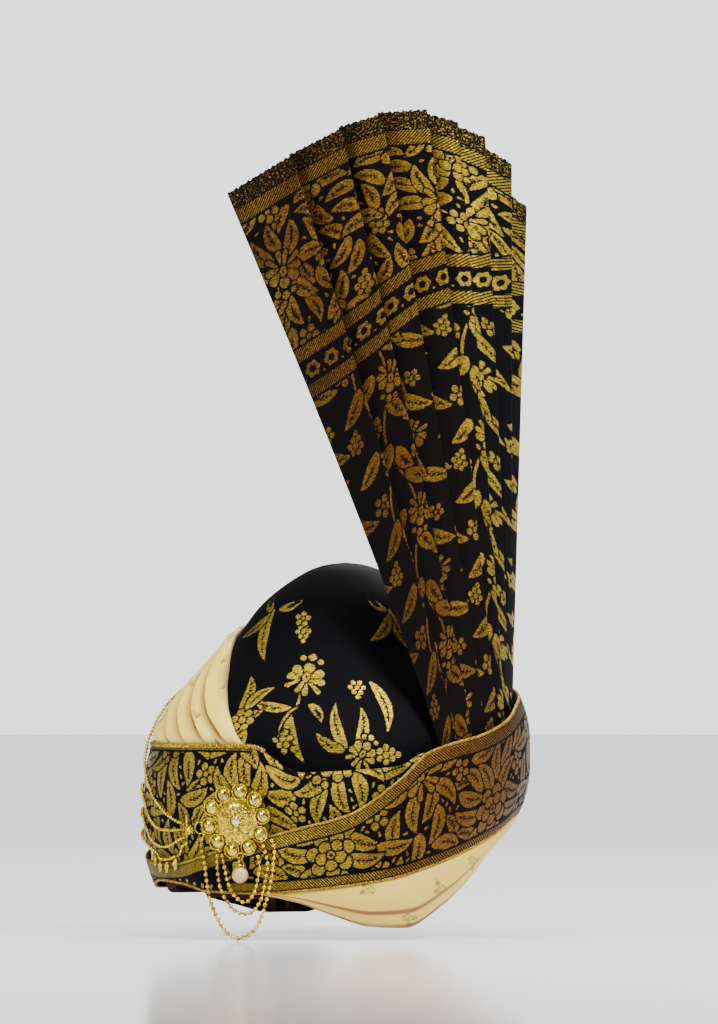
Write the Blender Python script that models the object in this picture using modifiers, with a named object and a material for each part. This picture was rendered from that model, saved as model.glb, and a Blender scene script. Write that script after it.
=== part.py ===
"""Tied turban pagri: a brocade cap wound with cream silk and brocade bands.

Metres, +Z up. The wearer faces -Y and the wearer's left is +X. The origin is
the centre of the head opening at rim level. A turn is the angle in degrees
round the head: 0 at the front, 90 at the left ear, 180 at the back.
"""
import math

import bmesh
import bpy
import numpy as np
from mathutils import Matrix, Vector

# Wound body, measured over the outer wrap
BAND_WIDTH = 0.210
BAND_LENGTH = 0.244
BAND_HEIGHT = 0.121
RIM_RISE = 0.046
SECTOR = 12

# Walls and clearances
BAND_WALL = 0.004
CREAM_WALL = 0.002
CAP_WALL = 0.003
LINING_WALL = 0.006
FAN_WALL = 0.0018
LAYER_GAP = 0.0003

# Roundness of the bands in section
UNDER_HEIGHT = 0.030
UNDER_DEPTH = 0.0065
OVER_LEVEL = 0.090
OVER_DEPTH = 0.0086
UPPER_PUFF = 0.0036
UPPER_LIFT = 0.0103
LIP_HEIGHT = 0.0095

# Cap dome
CAP_HEIGHT = 0.200
CAP_FOLD_LEVEL = 0.088
CAP_LEAN = 0.0053
CAP_HEM = 0.002

# Cream front wrap
CREAM_TUCK = 0.011
CREAM_STEP = 0.0012
CREAM_REST = 0.0013

# Dips below the rim
DIP_DEPTH = 0.024
DIP_TUCK = 0.012
DIP_BULGE = 0.0040
DIP_CURL = 0.0026

# Rim lining
LINING_RISE = 0.030
LINING_SHOW = 0.004

# Fan
FAN_AZIMUTH = 70.0
FAN_LEFT = -0.068
FAN_WIDTH = 0.182
FAN_TOP = 0.4805
FAN_REACH = 0.080
FAN_TUCK = 0.007
FAN_BASE_START = 107.0
FAN_BASE_END = 158.0
FAN_BASE_CLEARANCE = 0.0006
FAN_PLEAT_BASE = 0.0014
FAN_PLEAT_TOP = 0.0085
FAN_SPREAD_POWER = 1.12

# Brooch
BROOCH_TURN = 42.0
BROOCH_LEVEL = 0.0425
BROOCH_GAP = 0.0001
PETAL_COUNT = 10
PETAL_RING_RADIUS = 0.0182
PETAL_FIRST_ANGLE = 10.0
BEZEL_RADIUS = 0.00535
BEZEL_HEIGHT = 0.0032
SEAT_RADIUS = 0.0045
SEAT_FLOOR = 0.0017
STONE_RADIUS = 0.0040
STONE_HEIGHT = 0.0019
PLATE_RADIUS = 0.0145
PLATE_THICKNESS = 0.0016
DOME_RADIUS = 0.0112
DOME_HEIGHT = 0.0030
CENTRE_SEAT_RADIUS = 0.0037
CENTRE_STONE_RADIUS = 0.0033
CLUSTER_COUNT = 8
CLUSTER_RADIUS = 0.0016
LUG_RADIUS = 0.0015
LUG_SIDE = 0.0117
LUG_DROP = 0.0180

# Pearl drop
LOOP_RADIUS = 0.0019
LOOP_WIRE = 0.00045
LOOP_SIDE = 0.0036
LOOP_DROP = 0.0215
NECK_RADIUS = 0.0012
PEARL_RADIUS = 0.0051
PEARL_CAP_RADIUS = 0.0024
PEARL_CAP_HEIGHT = 0.0018
PEARL_STANDOFF = 0.0006

# Chains
BEAD_RADIUS = 0.00125
BEAD_PITCH = 0.0051
STRAND_RADIUS = 0.0011
CHAIN_GAP = 0.0003
SPACER_TURN = 22.6
SPACER_LEVEL = 0.0362
SPACER_LENGTH = 0.0190
SPACER_WIRE = 0.0008
SPACER_BEAD_RADIUS = 0.0030
SPACER_RING_TURN = 28.3
SPACER_RING_LEVEL = 0.0380
SPACER_RING_RADIUS = 0.0036
SPACER_RING_WIRE = 0.0005
PIN_TURN = -66.0
PIN_LEVEL = 0.050
PIN_RADIUS = 0.0045
PIN_THICKNESS = 0.0020
LEAF_LENGTH = 0.0070
LEAF_WIDTH = 0.0047
LEAF_THICKNESS = 0.0010

# turn in degrees, then band edges: rim as a share of RIM_RISE, the upper
# and the lower wrap's top edge as shares of BAND_HEIGHT
EDGES = (
    (-180, 1.000, 0.700, 1.000),
    (-150, 0.946, 0.690, 0.942),
    (-125, 0.630, 0.690, 0.835),
    (-105, 0.348, 0.765, 0.711),
    (-92, 0.174, 0.760, 0.562),
    (-76, 0.065, 0.744, 0.380),
    (-52, -0.043, 0.736, 0.256),
    (-27, -0.022, 0.727, 0.165),
    (0, 0.100, 0.723, 0.116),
    (16, 0.065, 0.723, 0.124),
    (27, -0.022, 0.727, 0.161),
    (45, -0.043, 0.727, 0.240),
    (62, 0.000, 0.600, 0.314),
    (76, 0.065, 0.610, 0.380),
    (92, 0.174, 0.628, 0.562),
    (101, 0.283, 0.694, 0.694),
    (110, 0.400, 0.636, 0.740),
    (120, 0.543, 0.640, 0.773),
    (135, 0.750, 0.670, 0.843),
    (149, 0.935, 0.700, 0.930),
    (165, 0.989, 0.720, 0.979),
)

# cap profile: level as a share of CAP_HEIGHT, radius as a share of the base
CAP_PROFILE = (
    (0.000, 1.000),
    (0.300, 1.000),
    (0.440, 1.000),
    (0.520, 0.942),
    (0.605, 0.823),
    (0.730, 0.632),
    (0.870, 0.461),
    (0.960, 0.254),
    (0.993, 0.110),
)

# cream front wrap: turn in degrees, top edge as a share of CAP_HEIGHT
CREAM_TOP = (
    (-144, 0.560),
    (-132, 0.625),
    (-120, 0.680),
    (-95, 0.745),
    (-70, 0.790),
    (-45, 0.805),
    (-17, 0.770),
    (11, 0.682),
    (24, 0.600),
    (32, 0.535),
    (41, 0.452),
    (48, 0.420),
)

# cream front wrap rows: share of the height above the cap's fold, -1 for the
# tucked hem, and share of CREAM_STEP
CREAM_ROWS = (
    (-1.00, 0.00),
    (0.00, 0.00),
    (0.16, 0.40),
    (0.38, 0.60),
    (0.43, 1.20),
    (0.70, 1.20),
    (0.75, 1.80),
    (1.00, 1.60),
)

# dips: turn in degrees, bottom edge as a share of DIP_DEPTH above rim level
NEAR_DIP = (
    (48, -0.13),
    (60, -0.33),
    (72, -0.68),
    (84, -0.96),
    (96, -1.00),
    (108, -0.54),
    (120, 0.13),
    (132, 0.88),
    (144, 1.32),
    (156, 1.62),
)
FAR_DIP = (
    (-144, 1.30),
    (-132, 0.88),
    (-120, 0.20),
    (-108, -0.45),
    (-96, -0.83),
    (-84, -0.83),
    (-72, -0.62),
    (-60, -0.40),
)

# dip section below the rim: share of the drop, share of DIP_BULGE, of DIP_CURL
DIP_ROWS = (
    (0.10, 0.45, 0.0),
    (0.45, 1.00, 0.0),
    (0.80, 0.60, 0.2),
    (1.00, 0.00, 1.0),
)

# fan folds, left to right: place as a share of FAN_WIDTH, height of the cloth
# left and right of the fold as shares of FAN_TOP
FAN_FOLDS = (
    (0.000, 0.892, 0.892),
    (0.218, 0.941, 0.943),
    (0.384, 0.975, 0.978),
    (0.520, 0.994, 0.996),
    (0.673, 1.000, 0.996),
    (0.772, 0.984, 0.982),
    (0.861, 0.964, 0.957),
    (0.949, 0.930, 0.897),
    (1.000, 0.874, 0.874),
)

# fan plan at its top: place as a share of FAN_WIDTH, depth as a share of FAN_REACH
FAN_PLAN = (
    (0.000, 0.96),
    (0.218, 1.00),
    (0.384, 1.00),
    (0.520, 0.97),
    (0.673, 0.90),
    (0.772, 0.80),
    (0.861, 0.62),
    (0.949, 0.36),
    (1.000, 0.12),
)

# columns of one pleat: place between its folds, share of the pleat's depth
PLEAT_COLUMNS = (
    (-0.05, -0.5),
    (0.50, 0.15),
    (1.00, 0.5),
)
FAN_ROWS = (0.0, 0.10, 0.28, 0.52, 0.76, 1.0)

# chain routes: turn in degrees, level in metres
SWAG_OUTER = (
    (30.8, 0.0356), (29.3, 0.0291), (29.9, 0.0217), (30.7, 0.0143), (31.5, 0.0037),
    (32.7, -0.0068), (34.9, -0.0161), (37.8, -0.0248), (42.0, -0.0298),
    (46.3, -0.0273), (49.4, -0.0198), (51.3, -0.0087), (52.9, 0.0037),
    (53.8, 0.0155), (54.1, 0.0267), (53.0, 0.0319),
)
SWAG_MIDDLE = (
    (35.35, 0.0223), (35.4, 0.0130), (36.3, 0.0025), (38.5, -0.0062), (42.0, -0.0133),
    (46.6, -0.0141), (49.7, -0.0068), (51.4, 0.0062), (52.0, 0.0174), (50.5, 0.0286),
)
SWAG_INNER = (
    (37.0, 0.0224), (38.1, 0.0124), (39.3, 0.0037), (41.8, -0.0043), (45.0, -0.0074),
    (47.6, -0.0025), (49.0, 0.0068), (49.5, 0.0155), (49.0, 0.0221),
)
FRONT_CHAIN_1 = (
    (21.75, 0.0397), (17.0, 0.0419), (10.6, 0.0470), (6.0, 0.0520), (2.0, 0.0564),
    (-1.0, 0.0614), (-4.3, 0.0660), (-6.5, 0.0720), (-9.0, 0.0790), (-12.0, 0.0860),
    (-15.0, 0.0940), (-20.0, 0.1050), (-28.0, 0.1150), (-38.0, 0.1190),
    (-48.0, 0.1140), (-56.0, 0.1030), (-62.0, 0.0920), (-65.5, 0.0780),
    (-66.0, 0.0554),
)
FRONT_CHAIN_2 = (
    (21.75, 0.0366), (14.0, 0.0358), (8.7, 0.0360), (4.6, 0.0378), (0.5, 0.0410),
    (-2.5, 0.0446), (-6.0, 0.0496), (-10.0, 0.0546), (-16.0, 0.0595), (-28.0, 0.0640),
    (-42.0, 0.0640), (-56.0, 0.0590), (-63.8, 0.0528),
)
FRONT_CHAIN_3 = (
    (21.75, 0.0320), (17.5, 0.0290), (15.0, 0.0272), (11.0, 0.0255), (7.0, 0.0255),
    (3.2, 0.0272), (-0.5, 0.0305), (-3.0, 0.0345), (-8.0, 0.0400), (-14.0, 0.0440),
    (-26.0, 0.0480), (-44.0, 0.0500), (-63.6, 0.0492),
)
FRONT_CHAIN_4 = (
    (21.75, 0.0282), (19.0, 0.0250), (17.4, 0.0214), (14.5, 0.0190), (11.0, 0.0178),
    (7.0, 0.0176), (3.4, 0.0192), (0.0, 0.0222), (-6.0, 0.0265), (-13.0, 0.0305),
    (-26.0, 0.0345), (-44.0, 0.0400), (-64.1, 0.0462),
)
LEAF_TURNS = (15.6, 10.4, 5.4, 0.8, -3.6)

BLACK = (0.012, 0.013, 0.016)
MAROON = (0.075, 0.010, 0.014)
CREAM = (0.82, 0.70, 0.42)
GOLD = (0.60, 0.42, 0.14)
STONE = (0.80, 0.82, 0.80)
PEARL = (0.86, 0.82, 0.74)


def even_slopes(places, values):
    """Slopes at a table's rows that never overshoot its values."""
    rises = np.diff(values) / np.diff(places)
    before, after = rises[:-1], rises[1:]
    same_way = before * after > 0
    total = np.where(same_way, before + after, 1.0)
    inner = np.where(same_way, 2 * before * after / total, 0.0)
    return np.concatenate((rises[:1], inner, rises[-1:]))


def smooth_value(places, values, place, slopes=None):
    """Read a table between its rows on a smooth curve."""
    if slopes is None:
        slopes = np.gradient(values, places)
    place = min(max(place, places[0]), places[-1])
    row = int(min(max(np.searchsorted(places, place) - 1, 0), len(places) - 2))
    span = places[row + 1] - places[row]
    s = (place - places[row]) / span
    start = values[row] * (2 * s ** 3 - 3 * s ** 2 + 1)
    end = values[row + 1] * (3 * s ** 2 - 2 * s ** 3)
    lean_in = slopes[row] * span * (s ** 3 - 2 * s ** 2 + s)
    lean_out = slopes[row + 1] * span * (s ** 3 - s ** 2)
    return start + end + lean_in + lean_out


def table_value(rows, column, place):
    """One column of a table at a place."""
    table = np.array(rows, dtype=float)
    places, values = table[:, 0], table[:, column]
    return smooth_value(places, values, place, even_slopes(places, values))


def edge_value(column, turn):
    """One column of EDGES at any turn, continuous round the head."""
    table = np.array(EDGES, dtype=float)
    places = np.concatenate((table[:, 0] - 360, table[:, 0], table[:, 0] + 360))
    values = np.tile(table[:, column], 3)
    return smooth_value(places, values, (turn + 180) % 360 - 180, even_slopes(places, values))


def ease(value):
    """Smooth step from 0 to 1."""
    value = min(max(value, 0.0), 1.0)
    return value * value * (3 - 2 * value)


def rim_level(turn):
    """Bottom edge of the band."""
    return edge_value(1, turn) * RIM_RISE


def upper_level(turn):
    """Top edge of the upper wrap."""
    return edge_value(2, turn) * BAND_HEIGHT


def lower_level(turn):
    """Top edge of the lower wrap."""
    return edge_value(3, turn) * BAND_HEIGHT


def ring_point(turn, inset, level):
    """Point on the outer oval, moved in by inset."""
    angle = math.radians(turn)
    half_width = BAND_WIDTH / 2 - inset
    half_length = BAND_LENGTH / 2 - inset
    return Vector((half_width * math.sin(angle), -half_length * math.cos(angle), level))


def outward(turn):
    """Level direction square to the outer oval."""
    angle = math.radians(turn)
    return Vector((math.sin(angle) / BAND_WIDTH, -math.cos(angle) / BAND_LENGTH, 0)).normalized()


def under_inset(turn, level):
    """How far the band rolls in towards the rim."""
    rise = (level - rim_level(turn)) / UNDER_HEIGHT
    return UNDER_DEPTH * max(0.0, 1 - rise) ** 2


def over_inset(level):
    """How far the band leans in towards its top."""
    rise = (level - OVER_LEVEL) / (BAND_HEIGHT - OVER_LEVEL)
    return OVER_DEPTH * max(0.0, rise) ** 2


def lower_inset(turn, level):
    """Inset of the lower wrap's outer face."""
    return under_inset(turn, level) + over_inset(level)


def upper_inset(turn, level):
    """Inset of the upper wrap's outer face, puffed out where it shows."""
    show = ease((level - lower_level(turn) - UPPER_PUFF) / (4 * UPPER_PUFF))
    hold = ease((upper_level(turn) - level) / (5 * UPPER_PUFF))
    return BAND_WALL + LAYER_GAP + lower_inset(turn, level) - UPPER_PUFF * show * hold


def band_inset(turn, level):
    """Inset of whichever wrap shows at this level."""
    if level <= lower_level(turn):
        return lower_inset(turn, level)
    return upper_inset(turn, level)


def near_inset(turn, level, above, below):
    """Inset of the band where it stands out most over a height."""
    return min(band_inset(turn, height) for height in np.linspace(level - below, level + above, 9))


BAND_BACK = BAND_WALL - 2 * LAYER_GAP
UPPER_INNER = 2 * BAND_WALL + LAYER_GAP
CREAM_INSET = UPPER_INNER + LAYER_GAP
CAP_INSET = CREAM_INSET + CREAM_WALL + LAYER_GAP
LINING_INSET = CAP_INSET + CAP_WALL + LAYER_GAP


def cap_point(turn, level):
    """Point on the cap's outer face."""
    share = table_value(CAP_PROFILE, 1, level / CAP_HEIGHT)
    angle = math.radians(turn)
    lean = CAP_LEAN * max(0.0, (level - CAP_FOLD_LEVEL) / (CAP_HEIGHT - CAP_FOLD_LEVEL))
    half_width = (BAND_WIDTH / 2 - CAP_INSET) * share
    half_length = (BAND_LENGTH / 2 - CAP_INSET) * share
    return Vector((half_width * math.sin(angle), lean - half_length * math.cos(angle), level))


def cap_normal(turn, level):
    """Outward direction of the cap's face."""
    around = cap_point(turn + 0.5, level) - cap_point(turn - 0.5, level)
    climb = cap_point(turn, level + 0.0005) - cap_point(turn, level - 0.0005)
    return around.cross(climb).normalized()


def material(name, colour, roughness, metallic=0.0):
    """Principled material for one part."""
    made = bpy.data.materials.new(name)
    made.use_nodes = True
    shader = made.node_tree.nodes["Principled BSDF"]
    shader.inputs["Base Color"].default_value = (*colour, 1)
    shader.inputs["Roughness"].default_value = roughness
    shader.inputs["Metallic"].default_value = metallic
    return made


def place_mesh(mesh, name, colour, roughness, metallic=0.0, smooth_angle=40):
    """Put a mesh in the part's collection as a named object."""
    made = bpy.data.objects.new(name, mesh)
    bpy.data.collections["tied_turban_pagri"].objects.link(made)
    mesh.materials.append(material(name, colour, roughness, metallic))
    mesh.shade_smooth()
    mesh.set_sharp_from_angle(angle=math.radians(smooth_angle))
    return made


def grid_mesh(name, rows, closed=False):
    """Surface through rows of points, the last column joined to the first if closed."""
    mesh = bpy.data.meshes.new(name)
    build = bmesh.new()
    lines = [[build.verts.new(point) for point in row] for row in rows]
    count = len(lines[0])
    for low, high in zip(lines, lines[1:]):
        for column in range(count if closed else count - 1):
            after = (column + 1) % count
            build.faces.new((low[column], low[after], high[after], high[column]))
    build.normal_update()
    build.to_mesh(mesh)
    build.free()
    return mesh


def loft_ring(name, sections):
    """Closed tube through section loops that run round the head."""
    mesh = bpy.data.meshes.new(name)
    build = bmesh.new()
    loops = [[build.verts.new(point) for point in section] for section in sections]
    count = len(loops[0])
    for place, loop in enumerate(loops):
        after = loops[(place + 1) % len(loops)]
        for corner in range(count):
            following = (corner + 1) % count
            build.faces.new((loop[corner], after[corner], after[following], loop[following]))
    bmesh.ops.recalc_face_normals(build, faces=build.faces)
    build.to_mesh(mesh)
    build.free()
    return mesh


def shell(made, thickness):
    """Give an open surface its wall, inward from the shown face."""
    solid = made.modifiers.new("wall", "SOLIDIFY")
    solid.thickness = thickness
    solid.offset = -1
    solid.use_even_offset = True
    return made


def turns_all():
    """Turns of every sector round the head, one of them under the brooch."""
    first = BROOCH_TURN - SECTOR * (180 // SECTOR + 3)
    return [first + SECTOR * place for place in range(360 // SECTOR)]


def build_cap():
    """Stiff conical dome, open below."""
    rows = [[cap_point(turn, rim_level(turn) + CAP_HEM) for turn in turns_all()]]
    for share, _ in CAP_PROFILE[1:-1]:
        rows.append([cap_point(turn, share * CAP_HEIGHT) for turn in turns_all()])
    mesh = grid_mesh("kulla_cap", rows, closed=True)
    build = bmesh.new()
    build.from_mesh(mesh)
    build.verts.ensure_lookup_table()
    top_ring = list(build.verts)[-len(turns_all()):]
    peak = build.verts.new((0, CAP_LEAN, CAP_HEIGHT))
    for place, corner in enumerate(top_ring):
        build.faces.new((corner, top_ring[(place + 1) % len(top_ring)], peak))
    bmesh.ops.recalc_face_normals(build, faces=build.faces)
    build.to_mesh(mesh)
    build.free()
    shell(place_mesh(mesh, "kulla_cap", BLACK, 0.6), CAP_WALL)


def build_lining():
    """Padded headband inside the rim."""
    sections = []
    for turn in turns_all():
        low = rim_level(turn) - LINING_SHOW
        high = rim_level(turn) + LINING_RISE
        middle = (low + high) / 2
        outer = LINING_INSET
        inner = LINING_INSET + LINING_WALL
        sections.append([
            ring_point(turn, outer + 0.25 * LINING_WALL, low),
            ring_point(turn, outer, low + 0.3 * LINING_WALL),
            ring_point(turn, outer, high),
            ring_point(turn, inner - 0.5 * LINING_WALL, high),
            ring_point(turn, inner, middle),
            ring_point(turn, inner - 0.25 * LINING_WALL, low),
        ])
    place_mesh(loft_ring("rim_lining", sections), "rim_lining", MAROON, 0.7)


def build_upper_band():
    """Inner brocade wrap."""
    sections = []
    for turn in turns_all():
        low = rim_level(turn) + UPPER_LIFT
        high = upper_level(turn)
        inner = UPPER_INNER
        height = high - low
        shown = min(max(lower_level(turn) + UPPER_PUFF, low + 0.15 * height), low + 0.7 * height)
        levels = [low, (low + shown) / 2, shown]
        levels += [shown + (high - shown) * share for share in (0.3, 0.65, 0.9)]
        section = [ring_point(turn, inner, low)]
        for level in levels:
            inset = min(upper_inset(turn, level), inner - 0.25 * BAND_WALL)
            section.append(ring_point(turn, inset, level))
        section.append(ring_point(turn, inner - 0.6 * BAND_WALL, high))
        section.append(ring_point(turn, inner, high - 0.2 * BAND_WALL))
        sections.append(section)
    place_mesh(loft_ring("band_upper", sections), "band_upper", BLACK, 0.55)


def build_lower_band():
    """Outer brocade wrap, crossing up over the near side."""
    sections = []
    for turn in turns_all():
        low = rim_level(turn)
        high = lower_level(turn)
        lip = min(LIP_HEIGHT, 0.25 * (high - low))
        section = [ring_point(turn, UPPER_INNER, low + 0.1 * BAND_WALL)]
        section.append(ring_point(turn, UNDER_DEPTH + 0.2 * BAND_WALL, low))
        for share in (0.10, 0.35, 0.68):
            level = low + (high - low) * share
            section.append(ring_point(turn, lower_inset(turn, level), level))
        top = lower_inset(turn, high)
        section.append(ring_point(turn, top + 0.2 * BAND_WALL, high - 0.1 * BAND_WALL))
        section.append(ring_point(turn, top + BAND_BACK, high - 0.05 * BAND_WALL))
        for level in (low + 0.68 * (high - low), low + 0.35 * (high - low), low + lip):
            section.append(ring_point(turn, lower_inset(turn, level) + BAND_BACK, level))
        sections.append(section)
    place_mesh(loft_ring("band_lower", sections), "band_lower", BLACK, 0.55)


def build_cream_front():
    """Pleated silk over the front and far side of the cap."""
    first = CREAM_TOP[0][0]
    last = CREAM_TOP[-1][0]
    turns = [turn for turn in turns_all() if first <= turn <= last]
    rows = []
    for share, step in CREAM_ROWS:
        row = []
        for turn in turns:
            low = upper_level(turn) - CREAM_TUCK
            high = table_value(CREAM_TOP, 1, turn) * CAP_HEIGHT
            fold = min(CAP_FOLD_LEVEL, (low + high) / 2)
            level = fold + (fold - low) * share if share < 0 else fold + (high - fold) * share
            free = ease((level - upper_level(turn) - 0.2 * CREAM_TUCK) / (0.6 * CREAM_TUCK))
            lift = CREAM_WALL + LAYER_GAP + (CREAM_STEP * step + CREAM_REST) * free
            row.append(cap_point(turn, level) + cap_normal(turn, level) * lift)
        rows.append(row)
    mesh = grid_mesh("cream_front_wrap", rows)
    shell(place_mesh(mesh, "cream_front_wrap", CREAM, 0.45), CREAM_WALL - 0.5 * LAYER_GAP)


def build_dip(name, table, colour):
    """Cloth that hangs below the rim at one ear."""
    turns = [turn for turn in turns_all() if table[0][0] <= turn <= table[-1][0]]
    bottoms = [table_value(table, 1, turn) * DIP_DEPTH for turn in turns]
    deepest = max(rim_level(turn) - bottom for turn, bottom in zip(turns, bottoms))
    rows = [[], []]
    for turn in turns:
        rim = rim_level(turn)
        rows[0].append(ring_point(turn, CREAM_INSET, rim + DIP_TUCK))
        rows[1].append(ring_point(turn, CREAM_INSET, rim + LAYER_GAP))
    for share, bulge, curl in DIP_ROWS:
        row = []
        for turn, bottom in zip(turns, bottoms):
            rim = rim_level(turn) - LAYER_GAP
            drop = rim - bottom
            swell = (bulge * DIP_BULGE - curl * DIP_CURL) * drop / deepest
            row.append(ring_point(turn, CREAM_INSET - swell, rim - share * drop))
        rows.append(row)
    rows.reverse()
    mesh = grid_mesh(name, rows)
    shell(place_mesh(mesh, name, colour, 0.5), CREAM_WALL)


def fan_axes():
    """Sideways and outward level directions of the fan."""
    angle = math.radians(FAN_AZIMUTH)
    side = Vector((math.cos(angle), math.sin(angle), 0))
    face = Vector((math.sin(angle), -math.cos(angle), 0))
    return side, face


def fan_base(share):
    """Point and outward direction of the fan's foot."""
    turn = FAN_BASE_START + (FAN_BASE_END - FAN_BASE_START) * share
    level = lower_level(turn)
    inset = BAND_WALL + over_inset(level) + FAN_BASE_CLEARANCE + FAN_PLEAT_BASE / 2
    return ring_point(turn, inset, level - FAN_TUCK), outward(turn)


def fan_plan(share):
    """Point of the fan's plan at its top, at level 0."""
    side, face = fan_axes()
    depth = table_value(FAN_PLAN, 1, share) * FAN_REACH
    return side * (FAN_LEFT + FAN_WIDTH * share) + face * depth


def fan_columns():
    """Each column of the pleats: base share, top share, pleat depth, top level."""
    columns = []
    count = len(FAN_FOLDS) - 1
    for pleat in range(count):
        start, _, start_top = FAN_FOLDS[pleat]
        end, end_top, _ = FAN_FOLDS[pleat + 1]
        for place, depth in PLEAT_COLUMNS:
            if pleat == 0:
                place = max(place, 0.0)
            share = start + (end - start) * place
            level = (start_top + (end_top - start_top) * max(place, 0.0)) * FAN_TOP
            columns.append(((pleat + max(place, 0.05)) / count, share, depth, level))
    return columns


def fan_point(column, rise):
    """Point of one column of the fan at a share of its height."""
    base_share, top_share, depth, level = column
    base, base_out = fan_base(base_share)
    top = fan_plan(top_share)
    along = fan_plan(min(top_share + 0.02, 1.0)) - fan_plan(max(top_share - 0.02, 0.0))
    top_out = along.cross(Vector((0, 0, 1))).normalized()
    spread = rise ** FAN_SPREAD_POWER
    amount = depth * (FAN_PLEAT_BASE + (FAN_PLEAT_TOP - FAN_PLEAT_BASE) * rise)
    point = base.lerp(top, spread) + base_out.lerp(top_out, rise).normalized() * amount
    point.z = base.z + (level - base.z) * rise
    return point


def build_fan():
    """Tall brocade fan in knife pleats."""
    cloth = [[fan_point(column, rise) for rise in FAN_ROWS] for column in fan_columns()]
    mesh = grid_mesh("turra_fan", list(zip(*cloth)))
    shell(place_mesh(mesh, "turra_fan", BLACK, 0.55, smooth_angle=60), FAN_WALL)


def brooch_frame():
    """Placement of the brooch: X along the band, Y up, Z out."""
    out = outward(BROOCH_TURN)
    up = Vector((0, 0, 1))
    side = up.cross(out)
    centre = ring_point(BROOCH_TURN, 0, BROOCH_LEVEL)
    reach = PETAL_RING_RADIUS + BEZEL_RADIUS
    seat = max(
        (ring_point(turn, band_inset(turn, level), level) - centre).dot(out)
        for turn in np.linspace(BROOCH_TURN - 14, BROOCH_TURN + 14, 15)
        for level in np.linspace(BROOCH_LEVEL - reach, BROOCH_LEVEL + reach, 15)
    )
    frame = Matrix((side, up, out)).transposed().to_4x4()
    frame.translation = centre + out * (seat + BROOCH_GAP)
    return frame


def add_cone(build, centre, low_radius, high_radius, low, high, sides, turn=0.0):
    """Round or faceted block standing on Z."""
    middle = Vector((centre[0], centre[1], (low + high) / 2))
    spin = Matrix.Translation(middle) @ Matrix.Rotation(turn, 4, "Z")
    bmesh.ops.create_cone(build, cap_ends=True, cap_tris=False, segments=sides,
                          radius1=low_radius, radius2=high_radius, depth=high - low, matrix=spin)


def cone_object(name, group, frame, *arguments):
    """Block as an object of its own in one of the working collections."""
    mesh = bpy.data.meshes.new(name)
    build = bmesh.new()
    add_cone(build, *arguments)
    build.to_mesh(mesh)
    build.free()
    made = bpy.data.objects.new(name, mesh)
    made.matrix_world = frame
    made.hide_render = True
    made.display_type = "WIRE"
    group.objects.link(made)
    return made


def petal_centres():
    """Centres of the ten round bezels on the brooch."""
    centres = []
    for petal in range(PETAL_COUNT):
        angle = math.radians(PETAL_FIRST_ANGLE + 360 / PETAL_COUNT * petal)
        centres.append((PETAL_RING_RADIUS * math.cos(angle), PETAL_RING_RADIUS * math.sin(angle)))
    return centres


def pearl_depth():
    """How far the pearl's axis stands out from the brooch's back."""
    turn = BROOCH_TURN + math.degrees(LOOP_SIDE / (BAND_LENGTH / 2))
    level = BROOCH_LEVEL - LOOP_DROP - LOOP_RADIUS - PEARL_CAP_HEIGHT - 2 * PEARL_RADIUS / 3
    skin = ring_point(turn, band_inset(turn, level), level)
    out = (brooch_frame().inverted() @ skin).z
    return out + PEARL_RADIUS + PEARL_STANDOFF


def torus_object(name, group, frame, turned):
    """Small wire ring, lying in the XY plane or turned to stand across it."""
    bpy.ops.mesh.primitive_torus_add(major_segments=12, minor_segments=6,
                                     major_radius=LOOP_RADIUS, minor_radius=LOOP_WIRE)
    made = bpy.context.object
    made.name = name
    for owner in list(made.users_collection):
        owner.objects.unlink(made)
    group.objects.link(made)
    spin = Matrix.Rotation(math.radians(90), 4, "Y") if turned else Matrix()
    made.matrix_world = frame @ spin
    made.hide_render = True
    made.display_type = "WIRE"
    return made


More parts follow.
